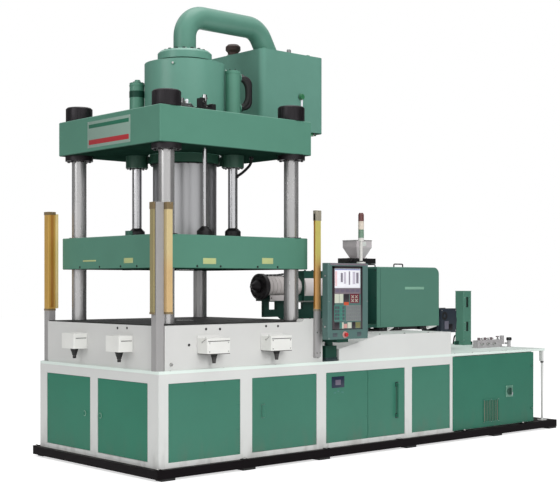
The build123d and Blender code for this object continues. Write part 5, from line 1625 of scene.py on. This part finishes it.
    def rails(self):
        """Screw holes and stops of the rails, and the screws of the bed."""
        low, high = extent("slide_rails")
        piece = Piece("rail_screws")
        # Painted shade: shallow screw holes with black floors.
        hole = [(8, 0), (7.6, 0.5), (5.6, 0.5), (3.4, 0.4, 6), (3.4, 0.1, 6), (0, 0.1)]
        along = [low.x + 46 + index * 115 for index in range(9)]
        for y in (low.y + 20, high.y - 20):
            piece.each(piece.turned, along, y, high.z, UP, hole, "hole black", 18)
            piece.block((high.x, y - 26, low.z), (high.x + 9, y + 26, high.z + 8), "nut black", 2)
        low, high = extent("injection_bed")
        along = (low.x + 620, low.x + 980, low.x + 1340)
        across = (low.y + 60, high.y - 60)
        piece.each(piece.cap_screw, along, across, high.z, UP, 9, "nut black", 5)
        heights = (low.z + 50, low.z + 180)
        piece.each(piece.hex_bolt, (low.x + 700, low.x + 1500), high.y, heights, BACK, 11)
        piece.each(piece.hex_bolt, high.x, (low.y + 260, high.y - 260), heights, RIGHT, 11)
        piece.build("frame")


class DressDeck(bpy.types.Operator):
    """Water fittings, hoses, terminal box and leg bolts on the cabinet's deck"""

    bl_idname = "machine.deck"
    bl_label = "Deck"

    def execute(self, context):
        self.manifold()
        self.terminals()
        self.screws()
        self.cabinet_covers()
        return {"FINISHED"}

    def manifold(self):
        piece = Piece("manifold_fittings", "water_manifold")
        width, depth = piece.size.xy
        top = 85
        valves = [middle_of(f"water_valve_{number}").x - piece.low.x for number in (1, 2, 3)]
        union = [(17, 0, 6), (17, 10, 6), (12, 13), (12, 30), (9, 32), (0, 32)]
        piece.each(piece.turned, valves, 0, 45, FRONT, union)
        for x in (12, 424):
            piece.block((x - 16, -14, 0), (x + 16, depth + 14, 8), "manifold grey", 2)
            piece.each(piece.hex_bolt, x, (-7, depth + 7), 8, UP, 5)
        port = [(13, 0, 6), (13, 9, 6), (9, 12), (9, 26), (0, 28)]
        between = [(before + after) / 2 for before, after in zip(valves, valves[1:])]
        piece.each(piece.turned, between + [400], depth / 2, top, UP, port)
        piece.drum((400, depth / 2, top + 28), UP, 21, 12, "valve handle", 2)
        piece.build("frame")
        piece = Piece("deck_strainer", "water_manifold")
        x, y = width - 6, -52
        body = [(26, 0), (26, 6), (20, 10), (20, 62), (24, 66), (24, 78), (0, 78)]
        piece.turned((x, y, 0), UP, body, "manifold grey", 32)
        piece.turned((x, y, 78), UP, [(31, 0), (31, 24), (26, 32), (0, 34)], "black plastic", 32)
        piece.tube([(x, y, 40), (x, 4, 40)], 11, "manifold grey")
        piece.build("frame")

    def terminals(self):
        """Slots, screws, lid, feet and glands of the terminal box."""
        piece = Piece("terminal_fittings", "terminal_box")
        width, depth, height = piece.size
        x0, x1, y0, y1 = 4, width - 4, 12, depth - 12
        for z0, z1 in ((163, 277), (447, 570)):
            # Painted shade: a black slot behind the terminals.
            piece.block((x0 + 50, y0 + 10, z0 + 1), (x0 + 94, y0 + 13, z1 - 1), "hole black", 0.5)
            heights = [z0 + 16 + step * (z1 - z0 - 32) / 3 for step in range(4)]
            piece.each(piece.drum, x0 + 72, y0 + 10.5, heights, FRONT, 9, 5, "nut black", 1, 20)
            piece.each(piece.pan_screw, (x0 + 26, x0 + 118), y0, (z0 + 8, z1 - 8), FRONT, 4.5)
        piece.each(piece.pan_screw, (x0 + 12, x1 - 12), y0, (60, height - 20), FRONT, 5)
        piece.block((-4, depth - 76, 0), (10, depth - 14, 46), "post dark", 3)
        piece.block((width - 34, -2, 0), (width, 16, 40), "post dark", 3)
        piece.block((x0 - 0.5, y0 - 1.5, height - 3), (x1 + 0.5, y1 + 1.5, height + 1), "terminal paint")
        piece.each(piece.hex_bolt, 2, (y0 + 14, y1 - 14), 40, UP, 5)
        x = width / 2
        gland = [(15, 0, 6), (15, 10, 6), (11, 13), (11, 24), (0, 24)]
        piece.each(piece.turned, x, y1, (110, 330), BACK, gland, "nut black")
        piece.hose([(x, y1 + 20, 110), (x, y1 + 70, 110), (x, y1 + 90, -2)], 34, 9)
        piece.build("frame")

    def screws(self):
        low, high = extent("base_deck")
        cabinet = extent("electric_cabinet")[0].x
        piece = Piece("deck_screws")
        along = [cabinet + 60 + index * 290 for index in range(6)]
        piece.each(piece.pan_screw, along, (low.y + 22, high.y - 22), high.z, UP, 8)
        piece.each(piece.pan_screw, (130, 700, 1300), low.y + 14, high.z, UP, 7)
        piece.build("frame")
        piece = Piece("leg_bolts", "support_leg")
        width, depth = piece.size[:2]
        piece.each(piece.hex_bolt, (12, width - 12), depth / 2, 12, UP, 7)
        piece.drum((width / 2, depth / 2, 647), UP, 18, 137, "black rubber", 3)
        piece.build("frame")

    def cabinet_covers(self):
        side, back = extent("electric_cabinet")[1][:2]
        z0, z1 = 170, 800
        rims = (z0 + 22, 485, z1 - 22)
        piece = Piece("cabinet_side")
        for y0, y1 in ((250, 880), (1030, 1660)):
            piece.block((side, y0, z0), (side + 3, y1, z1), "panel paint")
            for y, z in round_edge((y0 + 22, (y0 + y1) / 2, y1 - 22), rims):
                piece.pan_screw((side + 3, y, z), RIGHT, 7, "nut black")
            # Painted shade: black vent slots.
            slot = (side + 5.5, y1 - 150, 259)
            piece.row(8, (0, 0, 24), (side + 3, y0 + 150, 250), slot, "hole black", 0.8)
        piece.build("frame")
        piece = Piece("cabinet_rear")
        shown = back + 3
        for x0, x1 in ((3800, 4400), (4460, 5060)):
            piece.block((x0, back, z0), (x1, shown, z1), "panel paint")
            across = (x0 + 22, (x0 + x1) / 2, x1 - 22)
            piece.each(piece.pan_screw, across, shown, rims[::2], BACK, 7, "nut black")
        gland = [(26, 0, 6), (26, 12, 6), (20, 18), (20, 34), (0, 34)]
        for index, x in enumerate((4560, 4660, 4760, 4860)):
            piece.turned((x, shown, 260), BACK, gland, "nut black")
            # Painted shade: a black disc at the opening of the gland.
            piece.drum((x, shown + 29, 260), BACK, 6 + 1.5 * index, 6, "hole black", 1, 20)
        piece.build("frame")


class DressHydraulics(bpy.types.Operator):
    """Hoses, fins and gauge of the pump behind its door, and bolts of the stand"""

    bl_idname = "machine.hydraulics"
    bl_label = "Pump and stand"

    def execute(self, context):
        y, z = 150, 325
        piece = Piece("pump_fittings", "pump_unit")
        for index in range(16):
            piece.ring((44 + index * 22, y, z), RIGHT, 147, 158, 7, "pump paint", 1, 48)
        piece.ring((418, y, z), RIGHT, 108, 150, 14, "pump paint", 3, 48)
        piece.around(piece.hex_bolt, (432, y, z), 130, 8, 0.4, RIGHT, 8)
        piece.ring((498, y, z), RIGHT, 84, 98, 16, "valve steel", 2, 40)
        piece.around(piece.cap_screw, (piece.size.x, y, z), 66, 6, 0.1, RIGHT, 9)
        piece.drum((590, y, z + 82), UP, 26, 34, "valve steel", 3)
        piece.turned((590, y, z + 116), UP, [(30, 0, 6), (30, 20, 6), (22, 26), (0, 26)])
        self.dial(piece, 640, y - 84, z + 20)
        piece.build("frame")
        self.hoses(y, z)
        self.stand()
        return {"FINISHED"}

    def dial(self, piece, x, y, z):
        """A pressure gauge with its marks and its pointer."""
        piece.drum((x, y, z), FRONT, 8, 22, "bright steel", 1, 16)
        piece.drum((x, y - 22, z), FRONT, 31, 18, "nut black", 3, 32)
        # The dial's face glows a little from its finish: painted glow.
        piece.drum((x, y - 39.5, z), FRONT, 27, 1.5, "screen white", 0.4, 32)
        for number in range(9):
            angle = math.radians(-45 + number * 33.75)
            mark = (x - 22 * math.cos(angle), y - 41, z + 22 * math.sin(angle))
            piece.drum(mark, FRONT, 1.2, 0.6, "key ink", 0.2, 8)
        piece.tube([(x, y - 42, z), (x - 13, y - 42, z + 13)], 1, "stop red", 8)
        piece.drum((x, y - 41, z), FRONT, 3.5, 2, "nut black", 0.5, 16)

    def hoses(self, y, z):
        piece = Piece("pump_hoses", "pump_unit")
        base_low, base_high = extent("base_front_frame")
        bottom, top = base_low.z - piece.low.z - 1, base_high.z - piece.low.z + 3
        pressure = [(590, y, z + 140), (590, y, z + 260), (500, y + 200, z + 330), (420, y + 420, top)]
        piece.hose(pressure, 90, 20, "black rubber", 16)
        suction = [(590, y + 84, z), (590, y + 260, z), (560, y + 420, z - 160), (540, y + 520, bottom)]
        piece.hose(suction, 90, 30, "black rubber", 16)
        piece.drum((590, y, z + 142), UP, 26, 40, "bright steel", 3)
        piece.drum((590, y + 84, z), BACK, 37, 40, "bright steel", 3)
        piece.build("frame")

    def stand(self):
        low, high = extent("plinth")
        piece = Piece("stand_bolts")
        for x, y in product((-25, 900, 1900, 2900, 3900, 4900), (low.y + 24, high.y - 24)):
            piece.block((x - 34, y - 17, high.z), (x + 34, y + 17, high.z + 7), "plinth paint", 2)
            piece.hex_bolt((x, y, high.z + 7), UP, 11)
        piece.build("frame")


class BuildStudio(bpy.types.Operator):
    """Set up the pale studio: floor, lamps, sky and the camera of the photograph"""

    bl_idname = "machine.studio"
    bl_label = "Studio"

    def execute(self, context):
        scene = context.scene
        settings = scene.machine_studio
        self.floor(settings.floor)
        self.sky(scene, settings.sky)
        self.lamp("key lamp", (-2500, -16200, 8000), settings.key, 8.0)
        self.lamp("fill lamp", (-9500, 1200, 6000), settings.fill, 5.0)
        self.lamp("top lamp", (1500, 200, 10500), settings.top, 6.0)
        self.flags()
        camera_data = bpy.data.cameras.new("camera")
        camera_data.sensor_width = 36.0
        camera_data.lens = 75.42
        camera_data.shift_y = 39.0 / 560.0
        camera_data.clip_end = 200.0
        camera = bpy.data.objects.new("camera", camera_data)
        camera.location = at(-5686.0, -7921.0, 1636.0)
        camera.rotation_euler = (math.radians(90.0), 0.0, math.radians(-41.582))
        scene.collection.objects.link(camera)
        scene.camera = camera
        scene.view_settings.view_transform = "Standard"
        return {"FINISHED"}

    def lamp(self, name, place, power, size):
        """A square lamp that shines on the middle of the press and that the camera doesn't see."""
        data = bpy.data.lights.new(name, "AREA")
        data.energy = power
        data.size = size
        lamp = bpy.data.objects.new(name, data)
        lamp.location = at(*place)
        lamp.rotation_euler = (at(1900, 900, 1500) - lamp.location).to_track_quat("-Z", "Y").to_euler()
        lamp.visible_camera = False
        lamp.visible_glossy = name != "key lamp"
        bpy.context.scene.collection.objects.link(lamp)

    def sheet(self, name, corners, mix, *shaders):
        """A flat four-cornered piece of the studio, with a glow that is added to its other shader."""
        mesh = bpy.data.meshes.new(name)
        mesh.from_pydata(corners, [], [(0, 1, 2, 3)])
        surface = shaders[0]
        if len(shaders) > 1:
            surface = mix.add("AddShader", inputs={0: shaders[0], 1: shaders[1]})
        mix.add("OutputMaterial", inputs={"Surface": surface})
        mesh.materials.append(mix.material)
        sheet = bpy.data.objects.new(name, mesh)
        bpy.context.scene.collection.objects.link(sheet)
        return sheet

    def floor(self, white):
        """Matt floor that glows white where the camera or a reflection sees it, and keeps the shadow."""
        reach = 40.0
        mix = Finish("studio floor")
        path = mix.add("LightPath", output="Is Camera Ray")
        tone = mix.grey((mix.noise(0.4, 3.0) - 0.5) * 0.01 + 1.0)
        matt = mix.add("BsdfDiffuse", inputs={"Color": tone * (0.8, 0.8, 0.8)})
        shown = mix.add("LightPath", output="Is Glossy Ray") + path
        glow = mix.add("Emission", inputs={"Color": (1.0, 1.0, 1.0), "Strength": shown * white})
        corners = [(-reach, -reach, 0.0), (reach, -reach, 0.0), (reach, reach, 0.0), (-reach, reach, 0.0)]
        self.sheet("studio_floor", corners, mix, matt, glow)

    def sky(self, scene, strength):
        """Even light, seen as white by the camera, in glass and in reflections."""
        scene.world = bpy.data.worlds.new("studio sky")
        mix = Nodes(scene.world)
        seen = mix.add("LightPath", output="Is Camera Ray")
        for ray in ("Is Transmission Ray", "Is Glossy Ray"):
            seen = mix.add("Math", {"operation": "MAXIMUM"}, {0: seen, 1: mix.add("LightPath", output=ray)})
        power = mix.add("MapRange", inputs={"Value": seen, "To Min": strength, "To Max": 1.0})
        light = mix.add("Background", inputs={"Color": (1.0, 1.0, 1.0), "Strength": power})
        mix.add("OutputWorld", inputs={"Surface": light})

    def flags(self):
        """Dark and grey cards that only reflections see, for the edges of the ground columns."""
        height = 9000
        places = [((4900, -11700), (12100, -3100), 0.08), ((12100, -3100), (11900, 7500), 0.10),
                  ((-9900, 3300), (-2900, 11900), 0.22), ((-2900, 11900), (7300, 11600), 0.14)]
        for number, (start, end, grey) in enumerate(places, 1):
            mix = Finish(f"card grey {number}")
            tone = mix.grey(mix.noise(0.5) * 0.02 + grey)
            glow = mix.add("Emission", inputs={"Color": tone, "Strength": 1.0})
            corners = [at(*start, 0), at(*end, 0), at(*end, height), at(*start, height)]
            flag = self.sheet(f"card_{number}", corners, mix, glow)
            flag.visible_camera = False
            flag.visible_diffuse = False
            flag.visible_shadow = False


class MACHINE_PT_panel(bpy.types.Panel):
    """Settings and steps of the machine"""

    bl_idname = "MACHINE_PT_panel"
    bl_label = "Injection moulding machine"
    bl_space_type = "VIEW_3D"
    bl_region_type = "UI"
    bl_category = "Machine"

    def draw(self, context):
        layout = self.layout
        scene = context.scene
        for group in (scene.machine_colours, scene.machine_sizes, scene.machine_studio):
            column = layout.column(align=True)
            for name in group.bl_rna.properties.keys():
                if name not in {"rna_type", "name"}:
                    column.prop(group, name)
        steps = layout.column(align=True)
        for step in steps_in_order:
            steps.operator(step.bl_idname)


settings_groups = [MachineColours, MachineSizes, StudioSettings]
steps_in_order = [
    MixFinishes, FinishNodes, DressCrown, DressCylinders, DressTank, DressPlatens, DressBlock, DressGuards,
    DressDesk, DressDoors, DressCabinet, DressInjection, DressDeck, DressHydraulics, BuildStudio,
]


def register():
    for made in settings_groups + steps_in_order + [MACHINE_PT_panel]:
        bpy.utils.register_class(made)
    bpy.types.Scene.machine_colours = bpy.props.PointerProperty(type=MachineColours)
    bpy.types.Scene.machine_sizes = bpy.props.PointerProperty(type=MachineSizes)
    bpy.types.Scene.machine_studio = bpy.props.PointerProperty(type=StudioSettings)


def unregister():
    del bpy.types.Scene.machine_studio
    del bpy.types.Scene.machine_sizes
    del bpy.types.Scene.machine_colours
    for made in reversed(settings_groups + steps_in_order + [MACHINE_PT_panel]):
        bpy.utils.unregister_class(made)


def main():
    register()
    for step in steps_in_order:
        group, name = step.bl_idname.split(".")
        getattr(getattr(bpy.ops, group), name)()


if __name__ == "__main__":
    main()
